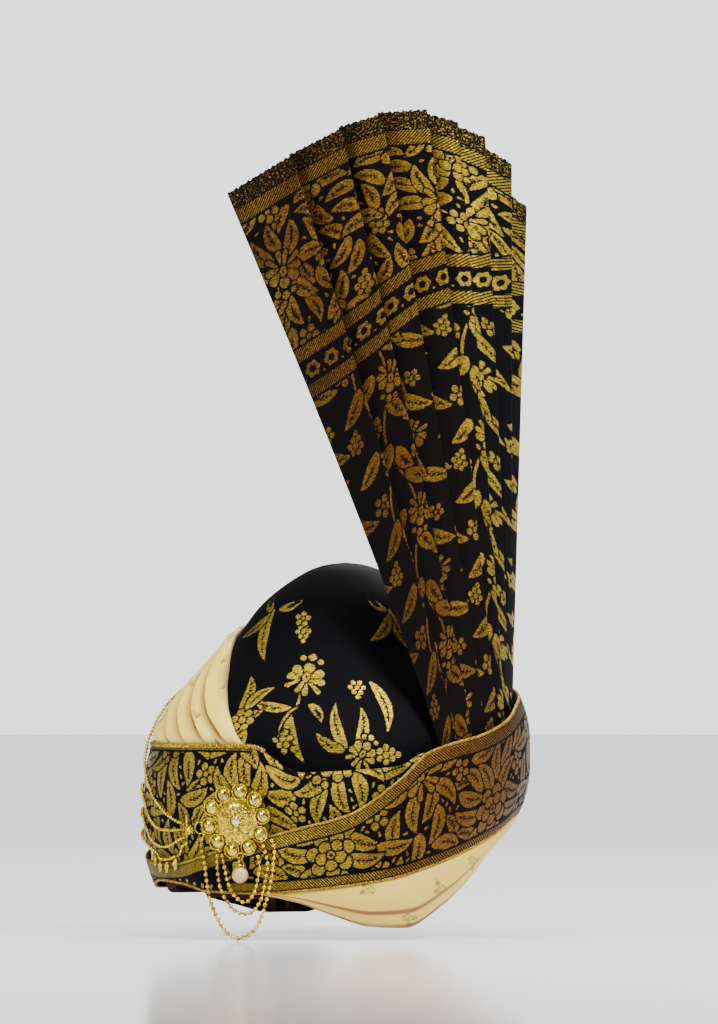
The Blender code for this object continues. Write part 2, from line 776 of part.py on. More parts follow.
def build_brooch(frame):
    """Gold brooch with its bezels, dome, lug and loop in one solid."""
    joined = bpy.data.collections["brooch_joined"]
    cut = bpy.data.collections["brooch_cutters"]
    for place, centre in enumerate(petal_centres()):
        cone_object(f"bezel_{place}", joined, frame, centre, BEZEL_RADIUS, BEZEL_RADIUS,
                    0.15 * PLATE_THICKNESS, BEZEL_HEIGHT, 10)
        cone_object(f"seat_{place}", cut, frame, centre, SEAT_RADIUS, SEAT_RADIUS,
                    SEAT_FLOOR, BEZEL_HEIGHT + PLATE_THICKNESS, 10)
    cone_object("dome", joined, frame, (0, 0), DOME_RADIUS, 0.82 * DOME_RADIUS,
                0.5 * PLATE_THICKNESS, DOME_HEIGHT, 16)
    cone_object("centre_seat", cut, frame, (0, 0), CENTRE_SEAT_RADIUS, CENTRE_SEAT_RADIUS,
                SEAT_FLOOR, DOME_HEIGHT + PLATE_THICKNESS, 10)
    ring = (CENTRE_SEAT_RADIUS + 0.82 * DOME_RADIUS) / 2
    for place in range(CLUSTER_COUNT):
        angle = 2 * math.pi * place / CLUSTER_COUNT
        cone_object(f"cluster_{place}", joined, frame,
                    (ring * math.cos(angle), ring * math.sin(angle)),
                    CLUSTER_RADIUS, 0.5 * CLUSTER_RADIUS,
                    DOME_HEIGHT - 0.2 * CLUSTER_RADIUS, DOME_HEIGHT + 0.6 * CLUSTER_RADIUS, 6)
    cone_object("lug", joined, frame, (-LUG_SIDE, -LUG_DROP),
                LUG_RADIUS, LUG_RADIUS, 0.3 * PLATE_THICKNESS, PLATE_THICKNESS, 10)
    cone_object("loop_neck", joined, frame, (LOOP_SIDE, LOOP_RADIUS - LOOP_DROP),
                NECK_RADIUS, NECK_RADIUS, 0.3 * PLATE_THICKNESS, pearl_depth() + LOOP_WIRE, 10)
    loop_place = Matrix.Translation((LOOP_SIDE, -LOOP_DROP, pearl_depth()))
    torus_object("loop", joined, frame @ loop_place, False)
    mesh = bpy.data.meshes.new("brooch_plate")
    build = bmesh.new()
    add_cone(build, (0, 0), PLATE_RADIUS, PLATE_RADIUS, 0, PLATE_THICKNESS, 16)
    build.to_mesh(mesh)
    build.free()
    plate = place_mesh(mesh, "brooch_plate", GOLD, 0.3, 1.0, smooth_angle=30)
    plate.matrix_world = frame
    for name, operation, group in (("join", "UNION", joined), ("seats", "DIFFERENCE", cut)):
        step = plate.modifiers.new(name, "BOOLEAN")
        step.operation = operation
        step.operand_type = "COLLECTION"
        step.collection = group


def build_stone(name, frame, centre, radius, sides):
    """Cut stone with a table, crown facets and a shallow back."""
    mesh = bpy.data.meshes.new(name)
    build = bmesh.new()
    low = SEAT_FLOOR + LAYER_GAP
    girdle = low + 0.45 * STONE_HEIGHT
    add_cone(build, centre, 0.7 * radius, radius, low, girdle, sides)
    add_cone(build, centre, radius, 0.58 * radius, girdle, low + STONE_HEIGHT, sides)
    bmesh.ops.remove_doubles(build, verts=build.verts, dist=0.00001)
    inner = [face for face in build.faces
             if abs(face.calc_center_median().z - girdle) < 0.00001]
    bmesh.ops.delete(build, geom=inner, context="FACES_ONLY")
    bmesh.ops.recalc_face_normals(build, faces=build.faces)
    build.to_mesh(mesh)
    build.free()
    made = place_mesh(mesh, name, STONE, 0.05, smooth_angle=1)
    made.matrix_world = frame


def build_stones(frame):
    """Petal stones and the centre stone."""
    for place, centre in enumerate(petal_centres()):
        build_stone(f"petal_stone_{place + 1:02d}", frame, centre, STONE_RADIUS, 8)
    build_stone("centre_stone", frame, (0, 0), CENTRE_STONE_RADIUS, 10)


def build_pearl(frame):
    """Pearl with its cap and bail, hanging on the brooch's loop."""
    pivot = bpy.data.objects.new("pearl_pivot", None)
    bpy.data.collections["tied_turban_pagri"].objects.link(pivot)
    hang = LOOP_DROP + LOOP_RADIUS
    pivot.matrix_world = frame @ Matrix.Translation((LOOP_SIDE, -hang, pearl_depth()))
    bail_level = -1.35 * LOOP_WIRE
    cap_top = bail_level - LOOP_RADIUS - 0.2 * LOOP_WIRE
    cap_low = cap_top - PEARL_CAP_HEIGHT
    bail_place = Matrix.Translation((0, bail_level, 0))
    bails = bpy.data.collections["bail"]
    torus_object("bail_ring", bails, pivot.matrix_world @ bail_place, True)
    mesh = bpy.data.meshes.new("pearl_cap")
    build = bmesh.new()
    add_cone(build, (0, 0), PEARL_CAP_RADIUS, 0.35 * PEARL_CAP_RADIUS, cap_low, cap_top, 12)
    build.transform(Matrix.Rotation(math.radians(-90), 4, "X"))
    build.to_mesh(mesh)
    build.free()
    cap = place_mesh(mesh, "pearl_cap", GOLD, 0.3, 1.0)
    join = cap.modifiers.new("bail", "BOOLEAN")
    join.operation = "UNION"
    join.operand_type = "COLLECTION"
    join.collection = bails
    mesh = bpy.data.meshes.new("pearl")
    build = bmesh.new()
    spin = Matrix.Rotation(math.radians(90), 4, "X")
    bmesh.ops.create_uvsphere(build, u_segments=14, v_segments=9, radius=PEARL_RADIUS, matrix=spin)
    build.to_mesh(mesh)
    build.free()
    pearl = place_mesh(mesh, "pearl", PEARL, 0.2)
    pearl.location = (0, cap_low - LAYER_GAP - PEARL_RADIUS, 0)
    for made in (cap, pearl):
        made.parent = pivot


def smooth_route(points, step):
    """Evenly spaced points on a smooth curve through a route's points."""
    points = np.array([tuple(point) for point in points])
    legs = np.linalg.norm(np.diff(points, axis=0), axis=1)
    places = np.concatenate(([0.0], np.cumsum(legs)))
    fine = np.linspace(0, places[-1], 400)
    curve = np.array([[smooth_value(places, points[:, axis], place) for axis in range(3)]
                      for place in fine])
    lengths = np.concatenate(([0.0], np.cumsum(np.linalg.norm(np.diff(curve, axis=0), axis=1))))
    return curve, lengths, max(2, round(lengths[-1] / step))


def read_route(curve, lengths, place):
    """Point of a smooth route at a distance along it."""
    return Vector([np.interp(place, lengths, curve[:, axis]) for axis in range(3)])


def tube_object(name, points, radius, shares):
    """Round tube through points, its radius a share of the full one at each."""
    line = bpy.data.curves.new(name, "CURVE")
    line.dimensions = "3D"
    line.bevel_depth = radius
    line.bevel_resolution = 2
    line.use_fill_caps = True
    spline = line.splines.new("POLY")
    spline.points.add(len(points) - 1)
    for target, point, share in zip(spline.points, points, shares):
        target.co = (*point, 1)
        target.radius = share
    made = bpy.data.objects.new(name, line)
    bpy.data.collections["tied_turban_pagri"].objects.link(made)
    line.materials.append(material(name, GOLD, 0.3, 1.0))
    return made


def laid_points(route, place_point):
    """Points of a chain, its turns and levels read smoothly between those chosen."""
    rows = np.array(route)
    count = len(rows) - 1
    marks = np.arange(count + 1)
    points = []
    for mark in np.linspace(0, count, 4 * count + 1):
        turn, level = (smooth_value(marks, rows[:, column], mark) for column in (0, 1))
        points.append(place_point(turn, level))
    return points


def hanging_point(turn, level):
    """Place of a chain that hangs in front of the band and below it."""
    return ring_point(turn, -BEAD_RADIUS - CHAIN_GAP, level)


def strand_point(turn, level):
    """Place of a fine chain that lies on the band or on the cream silk."""
    if level > upper_level(turn) + 2 * STRAND_RADIUS:
        lift = CREAM_WALL + 2.2 * CREAM_STEP + CREAM_REST + STRAND_RADIUS + CHAIN_GAP
        return cap_point(turn, level) + cap_normal(turn, level) * lift
    lift = STRAND_RADIUS + CHAIN_GAP
    return ring_point(turn, near_inset(turn, level, 0.002, 0.005) - lift, level)


def build_bead_chain(name, route):
    """String of round beads on thin links, all one solid."""
    curve, lengths, count = smooth_route(laid_points(route, hanging_point), BEAD_PITCH)
    points = []
    shares = []
    pitch = (lengths[-1] - 2 * BEAD_RADIUS) / count
    for bead in range(count + 1):
        middle = BEAD_RADIUS + bead * pitch
        for place, share in ((-0.92, 0.32), (-0.42, 0.93), (0.42, 0.93), (0.92, 0.32)):
            points.append(read_route(curve, lengths, middle + place * BEAD_RADIUS))
            shares.append(share)
    tube_object(name, points, BEAD_RADIUS, shares)


def build_strand(name, points, radius):
    """Tube that stands for one of the finest chains."""
    curve, lengths, count = smooth_route(points, 3.5 * 2 * radius)
    points = [read_route(curve, lengths, lengths[-1] * place / count) for place in range(count + 1)]
    tube_object(name, points, radius, [1.0] * len(points))


def upright(turn, level, lift, above=0.0, below=0.0):
    """Placement clear of the band over a height: X along the band, Y up, Z out."""
    out = outward(turn)
    up = Vector((0, 0, 1))
    frame = Matrix((up.cross(out), up, out)).transposed().to_4x4()
    frame.translation = ring_point(turn, near_inset(turn, level, above, below) - lift, level)
    return frame


def build_spacer():
    """Bar, bead and ring that tie the four fine chains to the brooch."""
    mesh = bpy.data.meshes.new("chain_spacer")
    build = bmesh.new()
    add_cone(build, (0, 0), SPACER_WIRE, SPACER_WIRE, -SPACER_LENGTH / 2, SPACER_LENGTH / 2, 10)
    build.transform(Matrix.Rotation(math.radians(90), 4, "X"))
    build.to_mesh(mesh)
    build.free()
    bar = place_mesh(mesh, "chain_spacer", GOLD, 0.3, 1.0)
    half = SPACER_LENGTH / 2
    bar.matrix_world = upright(SPACER_TURN, SPACER_LEVEL, STRAND_RADIUS + CHAIN_GAP, half, half)
    reach = math.degrees(2 / (BAND_LENGTH + BAND_WIDTH) * 2)
    bead_turn = SPACER_TURN + (SPACER_BEAD_RADIUS + SPACER_WIRE + LAYER_GAP) * reach
    mesh = bpy.data.meshes.new("spacer_bead")
    build = bmesh.new()
    bmesh.ops.create_uvsphere(build, u_segments=12, v_segments=8, radius=SPACER_BEAD_RADIUS)
    build.to_mesh(mesh)
    build.free()
    bead = place_mesh(mesh, "spacer_bead", GOLD, 0.3, 1.0)
    bead.matrix_world = upright(bead_turn, SPACER_LEVEL, SPACER_BEAD_RADIUS + CHAIN_GAP)
    bpy.ops.mesh.primitive_torus_add(major_segments=14, minor_segments=6,
                                     major_radius=SPACER_RING_RADIUS, minor_radius=SPACER_RING_WIRE)
    made = bpy.context.object
    mesh = made.data
    bpy.data.objects.remove(made)
    ring = place_mesh(mesh, "spacer_ring", GOLD, 0.3, 1.0)
    reach = SPACER_RING_RADIUS
    ring.matrix_world = upright(SPACER_RING_TURN, SPACER_RING_LEVEL, SPACER_BEAD_RADIUS / 2,
                                reach, reach)


def build_pin():
    """Plain round pin that ends the fine chains on the far side."""
    mesh = bpy.data.meshes.new("far_pin")
    build = bmesh.new()
    add_cone(build, (0, 0), PIN_RADIUS, 0.8 * PIN_RADIUS, 0, PIN_THICKNESS, 14)
    build.to_mesh(mesh)
    build.free()
    pin = place_mesh(mesh, "far_pin", GOLD, 0.3, 1.0)
    pin.matrix_world = upright(PIN_TURN, PIN_LEVEL, CHAIN_GAP, PIN_RADIUS, PIN_RADIUS)


def build_leaf(place, turn):
    """Small leaf drop under the lowest fine chain."""
    route = sorted(FRONT_CHAIN_4)
    chain_level = smooth_value([row[0] for row in route], [row[1] for row in route], turn)
    top = chain_level - STRAND_RADIUS - 2 * LAYER_GAP
    outline = ((0.0, 1.0), (0.36, 0.74), (0.50, 0.46), (0.34, 0.18),
               (0.0, 0.0), (-0.34, 0.18), (-0.50, 0.46), (-0.36, 0.74))
    mesh = bpy.data.meshes.new(f"leaf_drop_{place}")
    build = bmesh.new()
    rim = [build.verts.new((across * LEAF_WIDTH, (along - 1) * LEAF_LENGTH, 0))
           for across, along in outline]
    build.faces.new(rim)
    build.to_mesh(mesh)
    build.free()
    leaf = shell(place_mesh(mesh, f"leaf_drop_{place}", GOLD, 0.3, 1.0), LEAF_THICKNESS)
    leaf.matrix_world = upright(turn, top, LEAF_THICKNESS + CHAIN_GAP, below=LEAF_LENGTH)


def main():
    """Build every piece."""
    for old in list(bpy.data.objects):
        bpy.data.objects.remove(old)
    for name in ("tied_turban_pagri", "brooch_joined", "brooch_cutters", "bail"):
        group = bpy.data.collections.new(name)
        bpy.context.scene.collection.children.link(group)
    build_cap()
    build_lining()
    build_upper_band()
    build_lower_band()
    build_cream_front()
    build_dip("cream_side_wrap", NEAR_DIP, CREAM)
    build_dip("far_side_wrap", FAR_DIP, BLACK)
    build_fan()
    frame = brooch_frame()
    build_brooch(frame)
    build_stones(frame)
    build_pearl(frame)
    build_bead_chain("swag_chain_outer", SWAG_OUTER)
    build_bead_chain("swag_chain_middle", SWAG_MIDDLE)
    build_strand("swag_chain_inner", laid_points(SWAG_INNER, hanging_point), BEAD_RADIUS)
    for place, route in enumerate((FRONT_CHAIN_1, FRONT_CHAIN_2, FRONT_CHAIN_3, FRONT_CHAIN_4)):
        points = laid_points(route, strand_point)
        build_strand(f"front_chain_{place + 1}", points, STRAND_RADIUS)
    build_spacer()
    build_pin()
    for place, turn in enumerate(LEAF_TURNS):
        build_leaf(place + 1, turn)


main()
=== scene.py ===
"""Looks of a tied turban pagri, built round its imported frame.

Metres, +Z up. The wearer faces -Y and the wearer's left is +X. A turn is the
angle in degrees round the head: 0 at the front, 90 at the left ear, 180 at
the back. Woven patterns are drawn in millimetres of cloth.
"""
import math

import bmesh
import bpy
import numpy as np
from mathutils import Matrix, Vector


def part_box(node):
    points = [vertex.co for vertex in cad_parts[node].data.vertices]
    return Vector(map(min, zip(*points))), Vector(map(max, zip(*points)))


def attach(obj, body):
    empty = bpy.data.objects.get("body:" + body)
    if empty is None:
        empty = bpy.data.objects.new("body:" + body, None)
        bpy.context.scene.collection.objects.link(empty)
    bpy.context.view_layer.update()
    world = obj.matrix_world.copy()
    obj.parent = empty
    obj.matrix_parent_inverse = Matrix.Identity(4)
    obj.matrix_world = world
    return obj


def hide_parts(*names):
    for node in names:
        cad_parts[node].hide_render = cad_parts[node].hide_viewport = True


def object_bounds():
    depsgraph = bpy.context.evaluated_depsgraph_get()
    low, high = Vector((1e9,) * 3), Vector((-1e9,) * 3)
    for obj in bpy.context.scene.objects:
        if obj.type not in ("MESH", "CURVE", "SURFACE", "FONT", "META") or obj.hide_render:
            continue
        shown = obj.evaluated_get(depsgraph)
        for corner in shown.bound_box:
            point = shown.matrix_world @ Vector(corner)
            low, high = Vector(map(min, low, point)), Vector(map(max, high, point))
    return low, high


bl_info = {
    "name": "Tied turban pagri",
    "version": (1, 0, 0),
    "blender": (4, 5, 0),
    "location": "View3D > Sidebar > Pagri",
    "description": "Builds the cloth, brooch and chains of a tied turban round its frame",
    "category": "Object",
}

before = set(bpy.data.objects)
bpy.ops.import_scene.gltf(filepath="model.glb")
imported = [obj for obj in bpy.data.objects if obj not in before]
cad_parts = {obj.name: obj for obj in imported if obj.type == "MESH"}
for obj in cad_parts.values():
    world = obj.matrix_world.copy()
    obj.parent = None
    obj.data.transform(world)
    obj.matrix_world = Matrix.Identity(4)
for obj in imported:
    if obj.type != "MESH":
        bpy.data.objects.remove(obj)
CAD_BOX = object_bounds()

# Wound body, as in the part's source
BAND_WIDTH = 0.210
BAND_LENGTH = 0.244
BAND_HEIGHT = 0.121
RIM_RISE = 0.046
BAND_WALL = 0.004
CREAM_WALL = 0.002
CAP_WALL = 0.003
LAYER_GAP = 0.0003
UNDER_HEIGHT = 0.030
UNDER_DEPTH = 0.0065
OVER_LEVEL = 0.090
OVER_DEPTH = 0.0086
UPPER_PUFF = 0.0036
UPPER_INNER = 2 * BAND_WALL + LAYER_GAP
CREAM_INSET = UPPER_INNER + LAYER_GAP
CAP_INSET = CREAM_INSET + CREAM_WALL + LAYER_GAP
LINING_INSET = CAP_INSET + CAP_WALL + LAYER_GAP
CAP_HEIGHT = 0.200
CAP_FOLD_LEVEL = 0.088
CAP_LEAN = 0.0053
CREAM_TUCK = 0.011
DIP_DEPTH = 0.024
DIP_TUCK = 0.012
DIP_BULGE = 0.0040
DIP_CURL = 0.0026
LINING_WALL = 0.006
LINING_SHOW = 0.004
LINING_RISE = 0.030

# Fan
FAN_AZIMUTH = 70.0
FAN_LEFT = -0.068
FAN_WIDTH = 0.182
FAN_TOP = 0.4805
FAN_REACH = 0.080
FAN_TUCK = 0.007
FAN_BASE_START = 107.0
FAN_BASE_END = 158.0
FAN_PLEAT_BASE = 0.0014
FAN_PLEAT_TOP = 0.0085
FAN_SPREAD_POWER = 1.12
FAN_BASE_CLEARANCE = 0.0006

# Brooch and drop
BROOCH_TURN = 42.0
BROOCH_LEVEL = 0.0425
BROOCH_GAP = 0.0001
PETAL_COUNT = 10
PETAL_RING_RADIUS = 0.0182
PETAL_FIRST_ANGLE = 10.0
BEZEL_RADIUS = 0.00535
BEZEL_HEIGHT = 0.0032
SEAT_FLOOR = 0.0017
STONE_RADIUS = 0.0042
PLATE_RADIUS = 0.0145
PLATE_THICKNESS = 0.0016
DOME_RADIUS = 0.0112
DOME_HEIGHT = 0.0030
CENTRE_STONE_RADIUS = 0.0033
LUG_SIDE = 0.0117
LUG_DROP = 0.0180
LOOP_RADIUS = 0.0019
LOOP_WIRE = 0.00045
LOOP_SIDE = 0.0036
LOOP_DROP = 0.0215
PEARL_RADIUS = 0.0051
PEARL_CAP_HEIGHT = 0.0018
PEARL_CAP_RADIUS = 0.0024
PEARL_STANDOFF = 0.0006

# Chains
BEAD_RADIUS = 0.00125
STRAND_RADIUS = 0.0011
CHAIN_GAP = 0.0003
CREAM_STEP = 0.0012
CREAM_REST = 0.0013

# turn, then rim as a share of RIM_RISE, upper and lower wrap's top edges as shares of BAND_HEIGHT
EDGES = (
    (-180, 1.000, 0.700, 1.000), (-150, 0.946, 0.690, 0.942), (-125, 0.630, 0.690, 0.835),
    (-105, 0.348, 0.765, 0.711), (-92, 0.174, 0.760, 0.562), (-76, 0.065, 0.744, 0.380),
    (-52, -0.043, 0.736, 0.256), (-27, -0.022, 0.727, 0.165), (0, 0.100, 0.723, 0.116),
    (16, 0.065, 0.723, 0.124), (27, -0.022, 0.727, 0.161), (45, -0.043, 0.727, 0.240),
    (62, 0.000, 0.600, 0.314), (76, 0.065, 0.610, 0.380), (92, 0.174, 0.628, 0.562),
    (101, 0.283, 0.694, 0.694), (110, 0.400, 0.636, 0.740), (120, 0.543, 0.640, 0.773),
    (135, 0.750, 0.670, 0.843), (149, 0.935, 0.700, 0.930), (165, 0.989, 0.720, 0.979),
)

# level as a share of CAP_HEIGHT, radius as a share of the base
CAP_PROFILE = (
    (0.000, 1.000), (0.300, 1.000), (0.440, 1.000), (0.520, 0.942), (0.605, 0.823),
    (0.730, 0.632), (0.870, 0.461), (0.960, 0.254), (0.993, 0.110), (1.000, 0.000),
)

# turn, top edge as a share of CAP_HEIGHT
CREAM_TOP = (
    (-144, 0.560), (-132, 0.625), (-120, 0.680), (-95, 0.745), (-70, 0.790), (-45, 0.805),
    (-17, 0.770), (11, 0.682), (24, 0.600), (32, 0.535), (41, 0.452), (48, 0.420),
)

# turn, bottom edge as a share of DIP_DEPTH above rim level
NEAR_DIP = (
    (48, -0.13), (60, -0.33), (72, -0.68), (84, -0.96), (96, -1.00), (108, -0.54),
    (120, 0.13), (132, 0.88), (144, 1.32), (156, 1.62),
)
FAR_DIP = (
    (-144, 1.30), (-132, 0.88), (-120, 0.20), (-108, -0.45), (-96, -0.83), (-84, -0.83),
    (-72, -0.62), (-60, -0.40),
)

# share of the drop, share of DIP_BULGE, share of DIP_CURL
DIP_ROWS = ((0.0, 0.0, 0.0), (0.10, 0.45, 0.0), (0.45, 1.00, 0.0), (0.80, 0.60, 0.2), (1.00, 0.00, 1.0))

# place as a share of FAN_WIDTH, height of the cloth left and right of the fold as shares of FAN_TOP,
# depth as a share of FAN_REACH, second border's distance from the top edge in millimetres
FAN_FOLDS = (
    (0.000, 0.892, 0.892, 0.96, 106), (0.218, 0.941, 0.943, 1.00, 106),
    (0.384, 0.975, 0.978, 1.00, 102), (0.520, 0.994, 0.996, 0.97, 95),
    (0.673, 1.000, 0.996, 0.90, 88), (0.772, 0.984, 0.982, 0.80, 82),
    (0.861, 0.964, 0.957, 0.62, 72), (0.949, 0.930, 0.897, 0.36, 57),
    (1.000, 0.874, 0.874, 0.12, 47),
)

# chain routes: turn in degrees, level in metres
SWAG_OUTER = (
    (30.8, 0.0356), (29.3, 0.0291), (29.9, 0.0217), (30.7, 0.0143), (31.5, 0.0037),
    (32.7, -0.0068), (34.9, -0.0161), (37.8, -0.0248), (42.0, -0.0298),
    (46.3, -0.0273), (49.4, -0.0198), (51.3, -0.0087), (52.9, 0.0037),
    (53.8, 0.0155), (54.1, 0.0267), (53.0, 0.0319),
)
SWAG_MIDDLE = (
    (35.35, 0.0223), (35.4, 0.0130), (36.3, 0.0025), (38.5, -0.0062), (42.0, -0.0133),
    (46.6, -0.0141), (49.7, -0.0068), (51.4, 0.0062), (52.0, 0.0174), (50.5, 0.0286),
)
SWAG_INNER = (
    (37.0, 0.0224), (38.1, 0.0124), (39.3, 0.0037), (41.8, -0.0043), (45.0, -0.0074),
    (47.6, -0.0025), (49.0, 0.0068), (49.5, 0.0155), (49.0, 0.0221),
)
FRONT_CHAINS = (
    ((21.75, 0.0397), (17.0, 0.0419), (10.6, 0.0470), (6.0, 0.0520), (2.0, 0.0564),
     (-1.0, 0.0614), (-4.3, 0.0660), (-6.5, 0.0720), (-9.0, 0.0790), (-12.0, 0.0860),
     (-15.0, 0.0940), (-20.0, 0.1050), (-28.0, 0.1150), (-38.0, 0.1190),
     (-48.0, 0.1140), (-56.0, 0.1030), (-62.0, 0.0920), (-65.5, 0.0780), (-66.0, 0.0554)),
    ((21.75, 0.0366), (14.0, 0.0358), (8.7, 0.0360), (4.6, 0.0378), (0.5, 0.0410),
     (-2.5, 0.0446), (-6.0, 0.0496), (-10.0, 0.0546), (-16.0, 0.0595), (-28.0, 0.0640),
     (-42.0, 0.0640), (-56.0, 0.0590), (-63.8, 0.0528)),
    ((21.75, 0.0320), (17.5, 0.0290), (15.0, 0.0272), (11.0, 0.0255), (7.0, 0.0255),
     (3.2, 0.0272), (-0.5, 0.0305), (-3.0, 0.0345), (-8.0, 0.0400), (-14.0, 0.0440),
     (-26.0, 0.0480), (-44.0, 0.0500), (-63.6, 0.0492)),
    ((21.75, 0.0282), (19.0, 0.0250), (17.4, 0.0214), (14.5, 0.0190), (11.0, 0.0178),
     (7.0, 0.0176), (3.4, 0.0192), (0.0, 0.0222), (-6.0, 0.0265), (-13.0, 0.0305),
     (-26.0, 0.0345), (-44.0, 0.0400), (-64.1, 0.0462)),
)

# where the pleats of the cream silk start, as level in millimetres and turn together
CREAM_FOLDS = (-160, -143, -130, -114, -100, -84, -70, -55, -41, -26, -12, 3, 17, 31, 45, 58, 71, 84, 97,
               110, 123, 134, 152, 180)

# kind, turn, level in metres, lean in degrees, size in millimetres
CAP_SPRAYS = (
    ("leaf", 18, 0.171, 198, 40), ("leaf", 16, 0.168, 138, 26), ("leaf", 24, 0.172, -55, 18),
    ("leaf", 15, 0.171, 40, 16), ("blossom", 58, 0.130, -8, 13.5), ("stem", 57, 0.121, 172, 20),
    ("berries", 50, 0.157, 10, 6), ("leaf", 55, 0.112, 84, 28), ("leaf", 56, 0.107, 196, 31),
    ("berries", 55, 0.091, 10, 7), ("stem", 58, 0.113, 150, 26), ("leaf", 62, 0.114, -140, 15),
    ("leaf", 35, 0.110, 4, 29), ("leaf", 38, 0.110, -26, 25), ("leaf", 36, 0.107, -70, 17),
    ("berries", 38, 0.102, 0, 9), ("leaf", 41, 0.097, 172, 18), ("leaf", 86, 0.127, 194, 37),
    ("berries", 80, 0.123, 0, 6.5), ("leaf", 76, 0.087, 16, 30), ("leaf", 79, 0.088, -16, 27),
    ("leaf", 75, 0.086, 62, 21), ("blossom", 81, 0.083, -30, 10), ("berries", 90, 0.083, 90, 7.5),
    ("flower", 47, 0.166, 0, 5.5),
)

# Cloth drawing, in millimetres
CELL = 0.5
FAR = 8.0
OUTLINE = 0.95
BARE = 4.0
NARROW_BAND = 26

# Columns and rows of the cloth grids
WRAP_COLUMNS = 760
LOWER_ROWS = 116
UPPER_ROWS = 84
CREAM_COLUMNS = 400
CREAM_ROWS = 96
DIP_COLUMNS = 240
DIP_STEPS = 46
CAP_COLUMNS = 560
CAP_ROWS = 136
FAN_ROWS = 372
WIRE_SIDES = 10

# Camera and table
CAMERA_AZIMUTH = 70.0
CAMERA_RISE = 0.8
CAMERA_DISTANCE = 12.0
CAMERA_LENS = 680.0
AIM_RIGHT = 0.0136
AIM_LEVEL = 0.2313
TABLE_DROP = 0.0004
TABLE_RADIUS = 4.9


def even_slopes(places, values):
    """Slopes at a table's rows that never overshoot its values."""
    rises = np.diff(values) / np.diff(places)
    before, after = rises[:-1], rises[1:]
    same_way = before * after > 0
    total = np.where(same_way, before + after, 1.0)
    inner = np.where(same_way, 2 * before * after / total, 0.0)
    return np.concatenate((rises[:1], inner, rises[-1:]))


def read_smooth(places, values, wanted, slopes=None):
    """Read a table between its rows on a smooth curve, at many places."""
    if slopes is None:
        slopes = np.gradient(values, places)
    wanted = np.clip(wanted, places[0], places[-1])
    row = np.clip(np.searchsorted(places, wanted) - 1, 0, len(places) - 2)
    span = places[row + 1] - places[row]
    s = (wanted - places[row]) / span
    start = values[row] * (2 * s ** 3 - 3 * s ** 2 + 1)
    end = values[row + 1] * (3 * s ** 2 - 2 * s ** 3)
    lean_in = slopes[row] * span * (s ** 3 - 2 * s ** 2 + s)
    lean_out = slopes[row + 1] * span * (s ** 3 - s ** 2)
    return start + end + lean_in + lean_out


def read_table(rows, column, wanted):
    """One column of a table at many places."""
    table = np.array(rows, dtype=float)
    places, values = table[:, 0], table[:, column]
    return read_smooth(places, values, wanted, even_slopes(places, values))


def read_edge(column, turn):
    """One column of EDGES at any turn, continuous round the head."""
    table = np.array(EDGES, dtype=float)
    places = np.concatenate((table[:, 0] - 360, table[:, 0], table[:, 0] + 360))
    values = np.tile(table[:, column], 3)
    return read_smooth(places, values, (turn + 180) % 360 - 180, even_slopes(places, values))


def ease(value):
    """Smooth step from 0 to 1."""
    value = np.clip(value, 0.0, 1.0)
    return value * value * (3 - 2 * value)


def rim_level(turn):
    """Bottom edge of the band."""
    return read_edge(1, turn) * RIM_RISE


def upper_level(turn):
    """Top edge of the upper wrap."""
    return read_edge(2, turn) * BAND_HEIGHT


def lower_level(turn):
    """Top edge of the lower wrap."""
    return read_edge(3, turn) * BAND_HEIGHT


def ring_points(turn, inset, level):
    """Points on the outer oval, moved in by inset."""
    turn, inset, level = np.broadcast_arrays(np.radians(turn), inset, level)
    across = (BAND_WIDTH / 2 - inset) * np.sin(turn)
    along = -(BAND_LENGTH / 2 - inset) * np.cos(turn)
    return np.stack((across, along, level), axis=-1)


def close_turns(columns):
    """Turns round the head, closer together at the near side."""
    even = np.linspace(-180, 180, columns + 1)[:-1]
    return even - 22 * np.sin(np.radians(even - 70)) + 22 * math.sin(math.radians(-250))


def outward(turn):
    """Level directions square to the outer oval."""
    angle = np.radians(turn)
    out = np.stack((np.sin(angle) / BAND_WIDTH, -np.cos(angle) / BAND_LENGTH, 0 * angle), axis=-1)
    return out / np.linalg.norm(out, axis=-1, keepdims=True)


def lower_inset(turn, level):
    """Inset of the lower wrap's outer face, rolled in at the rim and leaning in at the top."""
    under = np.maximum(0.0, 1 - (level - rim_level(turn)) / UNDER_HEIGHT)
    over = np.maximum(0.0, (level - OVER_LEVEL) / (BAND_HEIGHT - OVER_LEVEL))
    return UNDER_DEPTH * under ** 2 + OVER_DEPTH * over ** 2


def upper_inset(turn, level):
    """Inset of the upper wrap's outer face, puffed out where it shows."""
    show = ease((level - lower_level(turn) - UPPER_PUFF) / (4 * UPPER_PUFF))
    hold = ease((upper_level(turn) - level) / (5 * UPPER_PUFF))
    return BAND_WALL + LAYER_GAP + lower_inset(turn, level) - UPPER_PUFF * show * hold


def band_inset(turn, level):
    """Inset of whichever wrap shows at this level."""
    return np.where(level <= lower_level(turn), lower_inset(turn, level), upper_inset(turn, level))


def near_inset(turn, level, above, below):
    """Inset of the band where it stands out most over a height."""
    heights = [level + step for step in np.linspace(-below, above, 9)]
    return np.min([band_inset(turn, height) for height in heights], axis=0)


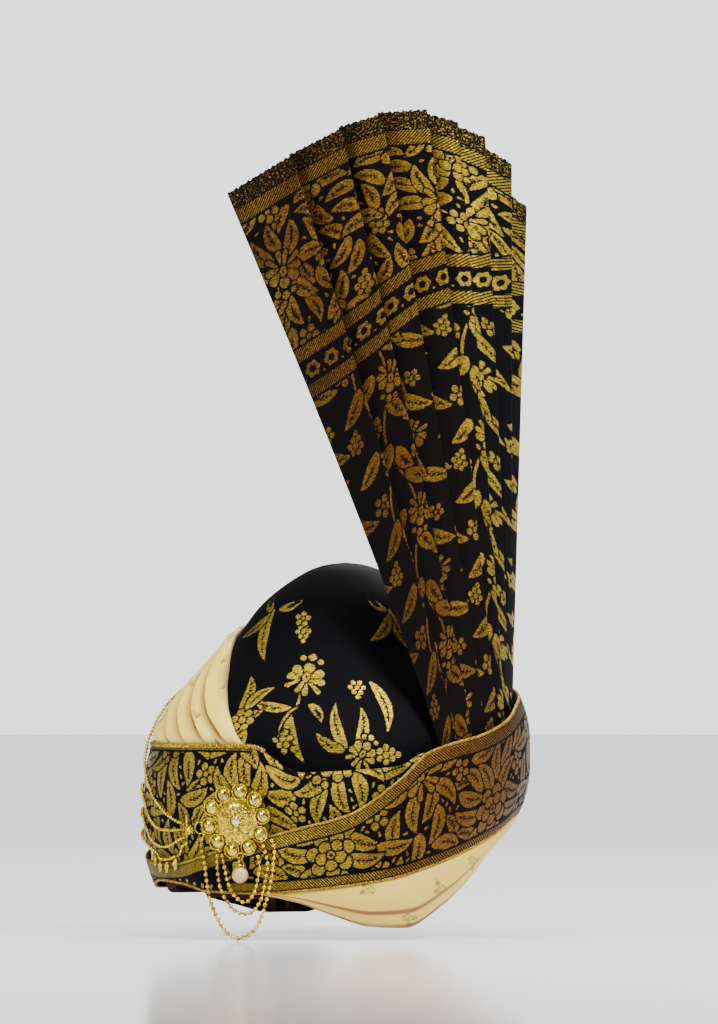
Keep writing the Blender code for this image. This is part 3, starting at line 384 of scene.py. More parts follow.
def cap_points(turn, level, lift=0.0):
    """Points over the cap's outer face."""
    share = read_table(CAP_PROFILE, 1, level / CAP_HEIGHT)
    angle = np.radians(turn)
    lean = CAP_LEAN * np.maximum(0.0, (level - CAP_FOLD_LEVEL) / (CAP_HEIGHT - CAP_FOLD_LEVEL))
    width = (BAND_WIDTH / 2 - CAP_INSET) * share
    length = (BAND_LENGTH / 2 - CAP_INSET) * share
    points = np.stack((width * np.sin(angle), lean - length * np.cos(angle), level + 0 * angle), axis=-1)
    if np.all(lift == 0):
        return points
    step = 0.0005
    ahead = cap_points(turn + 0.5, level) - cap_points(turn - 0.5, level)
    climb = cap_points(turn, np.minimum(level + step, CAP_HEIGHT)) - cap_points(turn, level - step)
    normal = np.cross(ahead, climb)
    normal /= np.linalg.norm(normal, axis=-1, keepdims=True)
    return points + normal * np.asarray(lift)[..., None]


def arc_length(turn):
    """Distance along the outer oval from the front, in millimetres."""
    fine = np.radians(np.linspace(-200, 200, 1601))
    pace = np.hypot(BAND_WIDTH / 2 * np.cos(fine), BAND_LENGTH / 2 * np.sin(fine))
    gone = np.concatenate(([0.0], np.cumsum((pace[1:] + pace[:-1]) / 2 * np.diff(fine))))
    gone = (gone - gone[800]) * 1000
    return np.interp(np.radians(turn), fine, gone)


# Woven ornament, drawn as signed distances

def stroke(x, y, line):
    """Signed distance to a line whose rows are x, y and half width."""
    best = np.full(x.shape, 1e3)
    for (ax, ay, ar), (bx, by, br) in zip(line, line[1:]):
        ex, ey = bx - ax, by - ay
        along = np.clip(((x - ax) * ex + (y - ay) * ey) / (ex * ex + ey * ey), 0, 1)
        away = np.hypot(x - ax - along * ex, y - ay - along * ey) - (ar + along * (br - ar))
        best = np.minimum(best, away)
    return best


def over(field, shape, outline=OUTLINE):
    """Lay one shape over what is drawn, with a dark outline round it."""
    return np.minimum(np.maximum(field, outline - shape), shape)


def leaf(x, y, length, width, bend=0.0, veined=True):
    """Curved pointed leaf that starts at 0, 0 and grows along +y, cut by a toothed midrib."""
    steps = 10
    line = []
    at = np.array((0.0, 0.0))
    for step in range(steps + 1):
        share = step / steps
        half = width / 2 * math.sin(math.pi * (0.04 + 0.96 * share) ** 0.8) ** 0.9
        angle = bend * (share - 0.35)
        line.append((at[0], at[1], max(0.1, half), angle))
        at = at + np.array((math.sin(angle), math.cos(angle))) * length / steps
    shape = stroke(x, y, [row[:3] for row in line])
    if veined:
        shape = np.maximum(shape, -stroke(x, y, [(row[0], row[1], 0.30) for row in line[2:9]]))
        for px, py, half, angle in line[3:8]:
            for side in (-1, 1):
                lean = angle + side * 0.7
                tip = (px + math.sin(lean) * half * 0.72, py + math.cos(lean) * half * 0.72, 0.12)
                shape = np.maximum(shape, -stroke(x, y, [(px, py, 0.30), tip]))
    return shape


def small_flower(x, y, radius):
    """Ring of five round petals about a bead."""
    petals = 5
    field = np.hypot(x, y) - 0.24 * radius
    for petal in range(petals):
        angle = 2 * math.pi * (petal + 0.25) / petals
        px, py = 0.66 * radius * math.cos(angle), 0.66 * radius * math.sin(angle)
        field = over(field, np.hypot(x - px, y - py) - 0.33 * radius, 0.75)
    return field


def eye_flower(x, y, radius):
    """Round flower with a dark eye and a notched edge."""
    angle = np.arctan2(y, x)
    edge = radius * (0.88 + 0.10 * np.cos(6 * angle))
    away = np.hypot(x, y)
    return np.maximum(away - edge, 0.38 * radius - away)


def peony(x, y, radius):
    """Full flower of layered petals."""
    field = np.full(x.shape, 1e3)
    for ring, petals, out, half in ((0, 7, 0.72, 0.29), (1, 5, 0.40, 0.25)):
        for petal in range(petals):
            angle = 2 * math.pi * (petal + 0.5 * ring) / petals
            cx, cy = math.cos(angle), math.sin(angle)
            line = [(cx * radius * out * 0.7, cy * radius * out * 0.7, radius * half * 0.7),
                    (cx * radius * out, cy * radius * out, radius * half)]
            field = over(field, stroke(x, y, line))
    core = np.hypot(x, y) - 0.17 * radius
    return np.maximum(over(field, core), 0.07 * radius - np.hypot(x, y))


def blossom(x, y, radius):
    """Open flower seen from the side: a fan of petals, sepals below and buds above."""
    field = np.full(x.shape, FAR)
    petals = ((-128, 0.95, 0.13), (128, 0.95, 0.13), (-168, 0.85, 0.15), (165, 0.8, 0.14), (-92, 0.72, 0.20),
              (92, 0.72, 0.20), (-52, 0.68, 0.24), (52, 0.68, 0.24), (0, 0.62, 0.27))
    for lean, out, half in petals:
        dx, dy = math.sin(math.radians(lean)), math.cos(math.radians(lean))
        line = [(dx * radius * 0.3, dy * radius * 0.3, radius * half * 0.6),
                (dx * radius * out, dy * radius * out, radius * half)]
        field = over(field, stroke(x, y, line), 0.9)
    for dx, dy, size in ((0, 1.22, 0.20), (-0.42, 1.08, 0.16), (0.42, 1.08, 0.16)):
        field = over(field, np.hypot(x - dx * radius, y - dy * radius) - size * radius, 0.8)
    core = np.hypot(x / 0.7, y - 0.08 * radius) - 0.26 * radius
    return np.maximum(over(field, core, 0.9), 0.09 * radius - np.hypot(x / 0.6, y - 0.1 * radius))


def berries(x, y, radius):
    """Hanging bunch of beads."""
    field = np.full(x.shape, 1e3)
    for row, count in enumerate((1, 2, 3, 2)):
        for place in range(count):
            px = (place - (count - 1) / 2) * 0.62 * radius
            py = (row - 1.5) * 0.55 * radius
            field = over(field, np.hypot(x - px, y - py) - 0.28 * radius, 0.65)
    return field


class Ornament:
    """One repeat of a woven pattern, negative where the gold thread shows."""

    def __init__(self, width, height):
        self.size = (width, height)
        self.shape = (round(height / CELL), round(width / CELL))
        self.y, self.x = np.meshgrid(np.arange(self.shape[0]) * CELL,
                                     np.arange(self.shape[1]) * CELL, indexing="ij")
        self.field = np.full(self.shape, FAR)

    def local(self, place, turn=0.0, flip=1):
        """Coordinates about a place, turned, across the repeat's edges."""
        width, height = self.size
        x = (self.x - place[0] + width / 2) % width - width / 2
        y = (self.y - place[1] + height / 2) % height - height / 2
        angle = math.radians(turn)
        across = x * math.cos(angle) + y * math.sin(angle)
        up = -x * math.sin(angle) + y * math.cos(angle)
        return across * flip, up

    def add(self, shape, place, turn=0.0, flip=1, **sizes):
        """Lay one motif on the pattern."""
        self.field = over(self.field, shape(*self.local(place, turn, flip), **sizes))

    def tuck(self, shape, place, turn=0.0, flip=1, **sizes):
        """Lay one motif beneath what is drawn."""
        drawn = shape(*self.local(place, turn, flip), **sizes)
        self.field = np.minimum(self.field, np.maximum(drawn, OUTLINE - self.field))

    def widest(self):
        """Place and half width of the widest gap."""
        row, column = np.unravel_index(np.argmax(self.field), self.shape)
        return (column * CELL, row * CELL), self.field[row, column]

    def fill_leaves(self, count, length, seed):
        """Tuck leaves into the widest gaps, each turned to cover most ground."""
        pick = np.random.default_rng(seed)
        for _ in range(count):
            place, room = self.widest()
            if room < 1.6:
                break
            size = float(np.clip(room * 4.2, 0.5 * length, length))
            flip = 1 if pick.random() < 0.5 else -1
            open_ground = self.field > OUTLINE
            best = (-1, 0.0)
            for turn in pick.uniform(0, 360) + np.arange(6) * 60.0:
                x, y = self.local(place, turn, flip)
                covered = np.count_nonzero((np.hypot(x / 0.15, y / 0.5) < size) & open_ground)
                best = max(best, (covered, turn))
            x, y = self.local(place, best[1], flip)
            drawn = leaf(x, y + size / 2, size, size * 0.40, 1.1)
            self.field = np.minimum(self.field, np.maximum(drawn, OUTLINE - self.field))

    def fill(self, count, smallest, largest, seed):
        """Put small buds in the gaps that are left."""
        pick = np.random.default_rng(seed)
        for _ in range(count):
            place, room = self.widest()
            room = room - OUTLINE
            if room < smallest:
                break
            half = min(room, largest)
            x, y = self.local(place, pick.uniform(0, 360))
            line = [(0, -0.2 * half, 0.6 * half), (0, 1.1 * half, 0.25 * half)]
            self.field = over(self.field, stroke(x, y, line))

    def read(self, u, v):
        """Signed distance at places of the cloth."""
        column = np.asarray(u) / CELL % self.shape[1]
        row = np.asarray(v) / CELL % self.shape[0]
        left, low = np.floor(column).astype(int), np.floor(row).astype(int)
        s, t = column - left, row - low
        right, high = (left + 1) % self.shape[1], (low + 1) % self.shape[0]
        left, low = left % self.shape[1], low % self.shape[0]
        lower = self.field[low, left] * (1 - s) + self.field[low, right] * s
        upper = self.field[high, left] * (1 - s) + self.field[high, right] * s
        return lower * (1 - t) + upper * t


def lay_rosette(made, flower, place, radius, turn, first, leaf_sizes):
    """Lay a full flower and tuck six leaves round it."""
    made.add(flower, place, turn, radius=radius)
    length, width, bend = leaf_sizes
    for spoke in range(6):
        leaf_turn = first + 60 * spoke
        out = math.radians(leaf_turn)
        start = (place[0] - math.sin(out) * radius * 0.7, place[1] + math.cos(out) * radius * 0.7)
        flip = 1 if spoke % 2 else -1
        made.tuck(leaf, start, leaf_turn, flip, length=length, width=width, bend=bend)


def band_ornament():
    """Close repeat of full flowers, long leaves and small flowers."""
    made = Ornament(116, 84)
    lay_rosette(made, peony, (30, 26), 15, 20, 20, (26, 9.5, 1.3))
    lay_rosette(made, blossom, (88, 64), 14, 50, 50, (26, 9.5, 1.3))
    for place, radius in (((59, 45), 8.0), ((2, 3), 7.5), ((1, 60), 7.0), ((62, 12), 7.0)):
        made.tuck(small_flower, place, 20, radius=radius)
    made.fill_leaves(26, 24, 5)
    made.fill(26, 1.0, 1.8, 5)
    return made


def fan_ornament():
    """Very close repeat of flowers, berries and leaves in the fan's top field."""
    made = Ornament(92, 80)
    lay_rosette(made, peony, (22, 28), 13, 12, 30, (21, 9, 1.1))
    lay_rosette(made, blossom, (68, 62), 12, 12, 30, (21, 9, 1.1))
    for place in ((46, 16), (2, 66)):
        made.tuck(berries, place, 15, radius=7.0)
    for place in ((70, 26), (24, 66)):
        made.tuck(small_flower, place, radius=7.0)
    made.fill_leaves(18, 20, 3)
    made.fill(22, 1.0, 1.8, 9)
    return made


def vine_ornament():
    """Open repeat of a climbing stem with leaves and flowers."""
    made = Ornament(44, 84)
    made.add(blossom, (31, 28), 20, radius=10)
    for place, turn, flip, length in (((27, 2), -58, 1, 24), ((20, 22), 50, -1, 23), ((27, 38), -24, 1, 19),
                                      ((31, 50), -66, 1, 24), ((21, 66), 42, -1, 24), ((25, 70), -22, 1, 18)):
        made.tuck(leaf, place, turn, flip, length=length, width=9.0, bend=0.8)
    stem = [(5 * math.sin(2 * math.pi * step / 24), -42 + 84 * step / 24, 0.8) for step in range(25)]
    made.tuck(stroke, (24, 42), line=stem)
    made.tuck(small_flower, (14, 52), radius=7.0)
    made.tuck(berries, (9, 8), 20, radius=6.5)
    made.tuck(small_flower, (37, 78), radius=5.5)
    return made


def fleck_ornament():
    """Faint small sprigs woven in the cream silk."""
    made = Ornament(46, 38)
    for place, turn in (((10, 9), 40), ((33, 28), 200)):
        made.add(leaf, place, turn, length=9, width=4, bend=0.8, veined=False)
        made.add(leaf, place, turn + 70, -1, length=8, width=3.6, bend=0.8, veined=False)
        made.add(small_flower, place, radius=3.2)
    return made


# Meshes

def place_object(name, data):
    """Object in the scene that holds a mesh, lamp or camera."""
    made = bpy.data.objects.new(name, data)
    bpy.context.scene.collection.objects.link(made)
    return made


def grid_object(name, points, cloth, fields, closed=False):
    """Mesh through a grid of points that carries its cloth places and fields."""
    rows, columns = points.shape[:2]
    spots = np.arange(rows * columns).reshape(rows, columns)
    if closed:
        spots = np.hstack((spots, spots[:, :1]))
    corners = np.stack((spots[:-1, :-1], spots[:-1, 1:], spots[1:, 1:], spots[1:, :-1]), axis=-1)
    mesh = bpy.data.meshes.new(name)
    mesh.from_pydata(points.reshape(-1, 3).tolist(), [], corners.reshape(-1, 4).tolist())
    mesh.update()
    places = np.zeros((rows * columns, 3), np.float32)
    places[:, :2] = np.stack(cloth, axis=-1).reshape(-1, 2)
    mesh.attributes.new("cloth", "FLOAT_VECTOR", "POINT").data.foreach_set("vector", places.ravel())
    for field, values in fields.items():
        values = np.broadcast_to(values, (rows, columns)).astype(np.float32)
        mesh.attributes.new(field, "FLOAT", "POINT").data.foreach_set("value", values.ravel())
    mesh.shade_smooth()
    return place_object(name, mesh)


def finish_piece(made, material, slot, *nodes, body="turban"):
    """Give a piece its material, body and the nodes it stands for; the slot is not used."""
    made.data.materials.append(material)
    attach(made, body)
    if nodes:
        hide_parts(*nodes)


def mesh_object(name, vertices, faces, smooth=40):
    """Mesh object from plain lists."""
    mesh = bpy.data.meshes.new(name)
    mesh.from_pydata([tuple(point) for point in vertices], [], [tuple(face) for face in faces])
    mesh.update()
    mesh.shade_smooth()
    mesh.set_sharp_from_angle(angle=math.radians(smooth))
    return place_object(name, mesh)


def spaced_route(points, step):
    """Even points along a line."""
    legs = np.linalg.norm(np.diff(points, axis=0), axis=1)
    places = np.concatenate(([0.0], np.cumsum(legs)))
    count = max(2, round(places[-1] / step))
    wanted = np.linspace(0, places[-1], count + 1)
    return np.stack([np.interp(wanted, places, points[:, axis]) for axis in range(3)], axis=-1)


def route_frames(points, closed=False):
    """Two directions square to a line at each of its points."""
    if closed:
        along = np.roll(points, -1, axis=0) - np.roll(points, 1, axis=0)
    else:
        along = np.gradient(points, axis=0)
    along /= np.linalg.norm(along, axis=1, keepdims=True)
    out = points * (1, 1, 0)
    out -= along * (out * along).sum(axis=1, keepdims=True)
    out /= np.linalg.norm(out, axis=1, keepdims=True)
    return out, np.cross(along, out)


def ring_faces(rings, sides, first=0, closed=False, ends=False):
    """Faces between rings of vertices, and over the end rings where wanted."""
    faces = []
    for ring in range(rings if closed else rings - 1):
        low, high = first + ring * sides, first + (ring + 1) % rings * sides
        for corner in range(sides):
            after = (corner + 1) % sides
            faces.append((low + corner, low + after, high + after, high + corner))
    if ends:
        last = first + (rings - 1) * sides
        faces.append(tuple(range(first + sides - 1, first - 1, -1)))
        faces.append(tuple(range(last, last + sides)))
    return faces


def tube_parts(points, radius, sides, closed=False, first=0):
    """Vertices and faces of a tube through points."""
    out, side = route_frames(points, closed)
    angles = 2 * math.pi * np.arange(sides) / sides
    ring = out[:, None] * np.cos(angles)[None, :, None] + side[:, None] * np.sin(angles)[None, :, None]
    vertices = (points[:, None] + ring * radius).reshape(-1, 3)
    return vertices.tolist(), ring_faces(len(points), sides, first, closed, not closed)


def twisted_cord(name, points, radius, pitch, closed=False):
    """Cord of two twisted strands laid along a line."""
    points = spaced_route(points, pitch / 6)
    if closed:
        points = points[:-1]
    out, side = route_frames(points, closed)
    turns = round(len(points) / 6)
    angle = 2 * math.pi * turns * np.arange(len(points)) / len(points)
    vertices, faces = [], []
    for start in (0.0, math.pi):
        phase = angle + start
        middle = points + (out * np.cos(phase)[:, None] + side * np.sin(phase)[:, None]) * radius * 0.5
        more, rings = tube_parts(middle, radius * 0.58, 5, closed, len(vertices))
        vertices += more
        faces += rings
    return mesh_object(name, vertices, faces, 80)


def bead_template(level):
    """Vertices and faces of a round bead of radius 1."""
    build = bmesh.new()
    bmesh.ops.create_icosphere(build, subdivisions=level, radius=1)
    vertices = np.array([vertex.co for vertex in build.verts])
    faces = [[vertex.index for vertex in face.verts] for face in build.faces]
    build.free()
    return vertices, faces


def bead_chain(name, points, radius, pitch, level, link_radius):
    """Round beads along a line, on a thin link; level is how finely a bead is cut."""
    line = spaced_route(points, 0.0008)
    length = np.linalg.norm(np.diff(line, axis=0), axis=1).sum()
    count = max(2, round((length - 2 * radius) / pitch))
    ends = 1 - 2 * radius / length
    places = radius / length + ends * np.arange(count + 1) / count
    marks = np.linspace(0, 1, len(line))
    centres = np.stack([np.interp(places, marks, line[:, axis]) for axis in range(3)], axis=-1)
    shape, sides = bead_template(level)
    vertices, faces = [], []
    for centre in centres:
        first = len(vertices)
        vertices += (centre + shape * radius).tolist()
        faces += [tuple(first + corner for corner in face) for face in sides]
    more, rings = tube_parts(line[1:-1], link_radius, 6, False, len(vertices))
    return mesh_object(name, vertices + more, faces + rings, 60)


def lathe_parts(profile, sides, first=0, place=None, ends=True):
    """Vertices and faces of a turned shape about Z; profile rows are radius and height."""
    vertices = []
    for radius, height in profile:
        for side in range(sides):
            angle = 2 * math.pi * side / sides
            vertices.append(Vector((radius * math.cos(angle), radius * math.sin(angle), height)))
    if place is not None:
        vertices = [place @ vertex for vertex in vertices]
    return vertices, ring_faces(len(profile), sides, first, ends=ends)


class Metalwork:
    """Gathers turned shapes, beads and wires of one metal piece."""

    def __init__(self):
        self.vertices = []
        self.faces = []

    def lathe(self, profile, sides, place=None, ends=True):
        """Add a turned shape."""
        vertices, faces = lathe_parts(profile, sides, len(self.vertices), place, ends)
        self.vertices += vertices
        self.faces += faces

    def bead(self, centre, radius, level=2):
        """Add a round bead."""
        shape, sides = bead_template(level)
        first = len(self.vertices)
        self.vertices += [Vector(centre) + Vector(point * radius) for point in shape]
        self.faces += [tuple(first + corner for corner in face) for face in sides]

    def grains(self, count, radius, height, size, centre=(0, 0), start=0.0, place=None):
        """Add a ring of small beads."""
        for grain in range(count):
            angle = 2 * math.pi * grain / count + start
            across, up = radius * math.cos(angle), radius * math.sin(angle)
            spot = Vector((centre[0] + across, centre[1] + up, height))
            self.bead(place @ spot if place else spot, size)

    def ring(self, radius, wire, place, sides=28):
        """Add a wire ring that lies in the XY plane of its placement."""
        first = len(self.vertices)
        for side in range(sides):
            angle = 2 * math.pi * side / sides
            for corner in range(WIRE_SIDES):
                turn = 2 * math.pi * corner / WIRE_SIDES
                out = radius + wire * math.cos(turn)
                point = Vector((out * math.cos(angle), out * math.sin(angle), wire * math.sin(turn)))
                self.vertices.append(place @ point)
        self.faces += [face[::-1] for face in ring_faces(sides, WIRE_SIDES, first, closed=True)]

    def make(self, name, frame_at):
        """Turn what was gathered into an object."""
        return mesh_object(name, [frame_at @ Vector(point) for point in self.vertices], self.faces, 35)


def cut_stone(frame_at, centre, radius, low, height, name):
    """Round cut stone: small table, three rings of facets, girdle and a short pavilion."""
    sides = 8
    # radius and height as shares, then how far the ring is turned in facets
    rows = ((0.30, 1.0, 0.0), (0.58, 0.84, 0.5), (0.84, 0.55, 0.0), (1.0, 0.26, 0.5), (1.0, 0.18, 0.5),
            (0.4, 0.0, 0.5))
    vertices, faces = [], []
    for share, rise, shift in rows:
        for side in range(sides):
            angle = 2 * math.pi * (side + shift) / sides
            vertices.append(Vector((centre[0] + share * radius * math.cos(angle),
                                    centre[1] + share * radius * math.sin(angle), low + height * rise)))
    faces.append(tuple(range(sides)))
    for row in range(len(rows) - 1):
        shifted = rows[row + 1][2] - rows[row][2]
        for side in range(sides):
            after, here, below = (side + 1) % sides, row * sides, (row + 1) * sides
            if shifted > 0:
                faces.append((here + side, below + side, here + after))
                faces.append((here + after, below + side, below + after))
            elif shifted < 0:
                faces.append((here + side, below + side, below + after))
                faces.append((here + side, below + after, here + after))
            else:
                faces.append((here + side, below + side, below + after, here + after))
    faces.append(tuple((len(rows) - 1) * sides + side for side in reversed(range(sides))))
    return mesh_object(name, [frame_at @ point for point in vertices], faces, 1)


# Materials

def linear(code):
    """Linear colour of an sRGB hex value."""
    parts = [int(code[place:place + 2], 16) / 255 for place in (1, 3, 5)]
    return tuple(part / 12.92 if part <= 0.04045 else ((part + 0.055) / 1.055) ** 2.4
                 for part in parts) + (1.0,)


def new_material(name, **values):
    """Material with its shader, and settings of the shader's own sockets."""
    made = bpy.data.materials.new(name)
    made.use_nodes = True
    shader = made.node_tree.nodes["Principled BSDF"]
    for socket, value in values.items():
        shader.inputs[socket.replace("_", " ")].default_value = value
    return made, made.node_tree, shader


def add_node(tree, kind, settings=None, **inputs):
    """Add a node; inputs are values or sockets, keyed by name or i0, i1 for a place."""
    node = tree.nodes.new(kind)
    for key, value in (settings or {}).items():
        setattr(node, key, value)
    for key, value in inputs.items():
        place = int(key[1:]) if key[0] == "i" and key[1:].isdigit() else key.replace("_", " ")
        if isinstance(value, bpy.types.NodeSocket):
            tree.links.new(value, node.inputs[place])
        else:
            node.inputs[place].default_value = value
    return node


def math_of(tree, operation, first, second=0.0):
    """Value of one sum."""
    return add_node(tree, "ShaderNodeMath", {"operation": operation}, i0=first, i1=second).outputs[0]


def field_of(tree, name, output="Fac"):
    """Value that the mesh carries."""
    node = add_node(tree, "ShaderNodeAttribute", {"attribute_type": "GEOMETRY", "attribute_name": name})
    return node.outputs[output]


def ramp_value(tree, value, low, high, out_low=0.0, out_high=1.0, smooth=False):
    """Value brought from one range to another."""
    node = add_node(tree, "ShaderNodeMapRange", {"interpolation_type": "SMOOTHSTEP" if smooth else "LINEAR"},
                    Value=value, From_Min=low, From_Max=high, To_Min=out_low, To_Max=out_high)
    return node.outputs[0]


def mix_colour(tree, share, first, second):
    """Colour between two."""
    node = add_node(tree, "ShaderNodeMix", {"data_type": "RGBA"}, i0=share, i6=first, i7=second)
    return node.outputs[2]


def set_colour(tree, shader, share, first, second):
    """Base colour between two sRGB hex values."""
    tree.links.new(mix_colour(tree, share, linear(first), linear(second)), shader.inputs["Base Color"])


def set_bump(tree, shader, strength, distance, height):
    """Relief of a surface; its distance is in metres."""
    bump = add_node(tree, "ShaderNodeBump", None, Strength=strength, Distance=distance, Height=height)
    tree.links.new(bump.outputs[0], shader.inputs["Normal"])


def noise_of(tree, place, scale, detail=2.0, roughness=0.5):
    """Noise at places of the cloth in millimetres, or of the object in metres."""
    return add_node(tree, "ShaderNodeTexNoise", None, Vector=place, Scale=scale, Detail=detail,
                    Roughness=roughness).outputs[0]


def object_noise(tree, scale, detail=2.0):
    """Noise fixed to the object."""
    return noise_of(tree, add_node(tree, "ShaderNodeTexCoord").outputs["Object"], scale, detail)


def plain_weave(tree, across, up, warp_pitch, weft_pitch):
    """Over and under of a plain weave; pitches are in millimetres."""
    warp = math_of(tree, "SINE", math_of(tree, "MULTIPLY", across, 2 * math.pi / warp_pitch))
    weft = math_of(tree, "SINE", math_of(tree, "MULTIPLY", up, 2 * math.pi / weft_pitch))
    return math_of(tree, "MULTIPLY", warp, weft)


def brocade(name, ground, brown, bright, dark):
    """Black silk satin with zari, a gilt thread, woven through it in floats.

    The satin ground gives a dull even black, browner where the cloth says so.
    The gilt floats stand a little proud, glint as metal and vary in tone at
    random as the thread is worn, and with the cloth's tone, which on the fan
    is painted light and shade.
    """
    made, tree, shader = new_material(name, IOR=1.5, Specular_IOR_Level=0.05)
    cloth = field_of(tree, "cloth", "Vector")
    place = add_node(tree, "ShaderNodeSeparateXYZ", None, Vector=cloth)
    u, v = place.outputs[0], place.outputs[1]
    specks = noise_of(tree, cloth, 0.85, 3.0, 0.7)
    # a figure's edge steps by a thread or two, about 0.4 mm
    uneven = ramp_value(tree, specks, 0.3, 0.7, -0.35, 0.35)
    figure = ramp_value(tree, math_of(tree, "ADD", field_of(tree, "motif"), uneven), 0.04, -0.24, smooth=True)
    strip = ramp_value(tree, field_of(tree, "strip"), 0.25, -0.25, smooth=True)
    # the hatched border has a line each 1.9 mm, wide enough to show
    slant = math_of(tree, "FRACT", math_of(tree, "DIVIDE", math_of(tree, "ADD", u, v), 1.9))
    line = ramp_value(tree, math_of(tree, "ABSOLUTE", math_of(tree, "SUBTRACT", slant, 0.5)), 0.24, 0.32)
    hatch = math_of(tree, "MULTIPLY", strip, math_of(tree, "SUBTRACT", 1.0, line))
    # frayed end: speckles of cut thread about 1.2 mm long
    fray = ramp_value(tree, field_of(tree, "fray"), 0.2, -0.2)
    tufts = math_of(tree, "MULTIPLY", fray, ramp_value(tree, specks, 0.53, 0.60))
    gold = math_of(tree, "MAXIMUM", math_of(tree, "MAXIMUM", figure, hatch), tufts)
    # floats drawn 0.7 mm apart, coarser than the real 0.3 mm, so that they show
    stretched = add_node(tree, "ShaderNodeMapping", {"vector_type": "POINT"}, Vector=cloth,
                         Scale=(0.55, 1.9, 1.0))
    floats = noise_of(tree, stretched.outputs[0], 0.8, 3.0, 0.8)
    patches = noise_of(tree, cloth, 0.035, 2.0)
    warm = field_of(tree, "warm")
    # the cloth's tone, mixed with random worn patches; on the fan it is painted light and shade
    tone = math_of(tree, "ADD", field_of(tree, "tone"), ramp_value(tree, patches, 0.35, 0.65, -0.15, 0.15))
    gilt = mix_colour(tree, tone, linear(dark), linear(bright))
    gilt = mix_colour(tree, math_of(tree, "MULTIPLY", warm, 0.75), gilt, linear("#94561c"))
    worn = mix_colour(tree, ramp_value(tree, floats, 0.42, 0.66, 0.92, 0.0), gilt, linear("#1c1404"))
    satin = mix_colour(tree, warm, linear(ground), linear(brown))
    tree.links.new(mix_colour(tree, gold, satin, worn), shader.inputs["Base Color"])
    tree.links.new(math_of(tree, "MULTIPLY", gold, 0.8), shader.inputs["Metallic"])
    tree.links.new(ramp_value(tree, gold, 0.0, 1.0, 0.62, 0.36), shader.inputs["Roughness"])
    weave = plain_weave(tree, u, v, 0.7, 0.9)
    height = math_of(tree, "ADD", gold, math_of(tree, "MULTIPLY", weave, 0.16))
    height = math_of(tree, "ADD", height, math_of(tree, "MULTIPLY", floats, 0.8))
    set_bump(tree, shader, 0.5, 0.0006, height)
    return made


def cream_silk(name, light, shade, fleck):
    """Washed silk satin with a sparse gilt sprig: a soft, even sheen, with painted shade in the folds."""
    made, tree, shader = new_material(name, Roughness=0.48, IOR=1.5, Sheen_Weight=0.35, Sheen_Roughness=0.35)
    cloth = field_of(tree, "cloth", "Vector")
    place = add_node(tree, "ShaderNodeSeparateXYZ", None, Vector=cloth)
    patches = noise_of(tree, cloth, 0.05, 3.0)
    # painted shade in the pleats, from the cloth's fold field, with random darker patches
    fold = math_of(tree, "MAXIMUM", math_of(tree, "MULTIPLY", field_of(tree, "fold"), 1.5),
                   ramp_value(tree, patches, 0.48, 0.8, 0.0, 0.35))
    body = mix_colour(tree, fold, linear(light), linear(shade))
    broken = noise_of(tree, cloth, 0.7, 3.0)
    figure = math_of(tree, "MULTIPLY", ramp_value(tree, field_of(tree, "motif"), 0.5, -0.4),
                     ramp_value(tree, broken, 0.34, 0.52))
    figure = math_of(tree, "MULTIPLY", figure, 0.85)
    tree.links.new(mix_colour(tree, figure, body, linear(fleck)), shader.inputs["Base Color"])
    weave = plain_weave(tree, place.outputs[0], place.outputs[1], 0.8, 0.8)
    set_bump(tree, shader, 0.10, 0.0004, math_of(tree, "ADD", weave, broken))
    return made


def lining_cloth(name, colour, worn):
    """Dull maroon cotton over padding: a soft matt face with a plain weave."""
    made, tree, shader = new_material(name, Roughness=0.85, IOR=1.45, Specular_IOR_Level=0.2)
    set_colour(tree, shader, ramp_value(tree, object_noise(tree, 60.0, 4.0), 0.4, 0.7), colour, worn)
    set_bump(tree, shader, 0.4, 0.0004, object_noise(tree, 1400.0))
    return made


def gold_metal(name, bright, dark, roughness):
    """Gold-plated brass, tumbled and polished: warm sharp glints, darker where dirt gathers."""
    made, tree, shader = new_material(name, Metallic=1.0, Roughness=roughness)
    stains = object_noise(tree, 420.0, 4.0)
    set_colour(tree, shader, ramp_value(tree, stains, 0.35, 0.7), bright, dark)
    tree.links.new(ramp_value(tree, stains, 0.3, 0.7, roughness * 0.7, roughness * 1.5),
                   shader.inputs["Roughness"])
    set_bump(tree, shader, 0.12, 0.0002, stains)
    return made


def gilt_thread(name, bright, dark):
    """Gilt thread laid as a twisted cord: short glints along each strand."""
    made, tree, shader = new_material(name, Metallic=0.75, Roughness=0.42)
    threads = object_noise(tree, 1100.0, 3.0)
    set_colour(tree, shader, ramp_value(tree, threads, 0.38, 0.62), dark, bright)
    set_bump(tree, shader, 0.5, 0.0004, threads)
    return made


def foiled_glass(name, colour, depth):
    """Cut glass with a metal foil behind it: bright facets under a clear hard surface."""
    made, tree, shader = new_material(name, Metallic=0.75, Roughness=0.08, IOR=1.54, Coat_Weight=1.0,
                                      Coat_Roughness=0.02)
    set_colour(tree, shader, ramp_value(tree, object_noise(tree, 520.0), 0.40, 0.62), colour, depth)
    return made


def pearl_coating(name, colour, outline_shade):
    """Glass pearl dipped in pearl lacquer: soft body colour under a clear glossy skin, with painted shade
    towards its outline.
    """
    made, tree, shader = new_material(name, Roughness=0.28, IOR=1.53, Coat_Weight=0.8, Coat_Roughness=0.08,
                                      Sheen_Weight=0.3, Sheen_Roughness=0.2)
    # painted shade: darker colour towards the outline as seen from the camera
    rim = add_node(tree, "ShaderNodeLayerWeight", None, Blend=0.35)
    set_colour(tree, shader, rim.outputs["Facing"], colour, outline_shade)
    return made


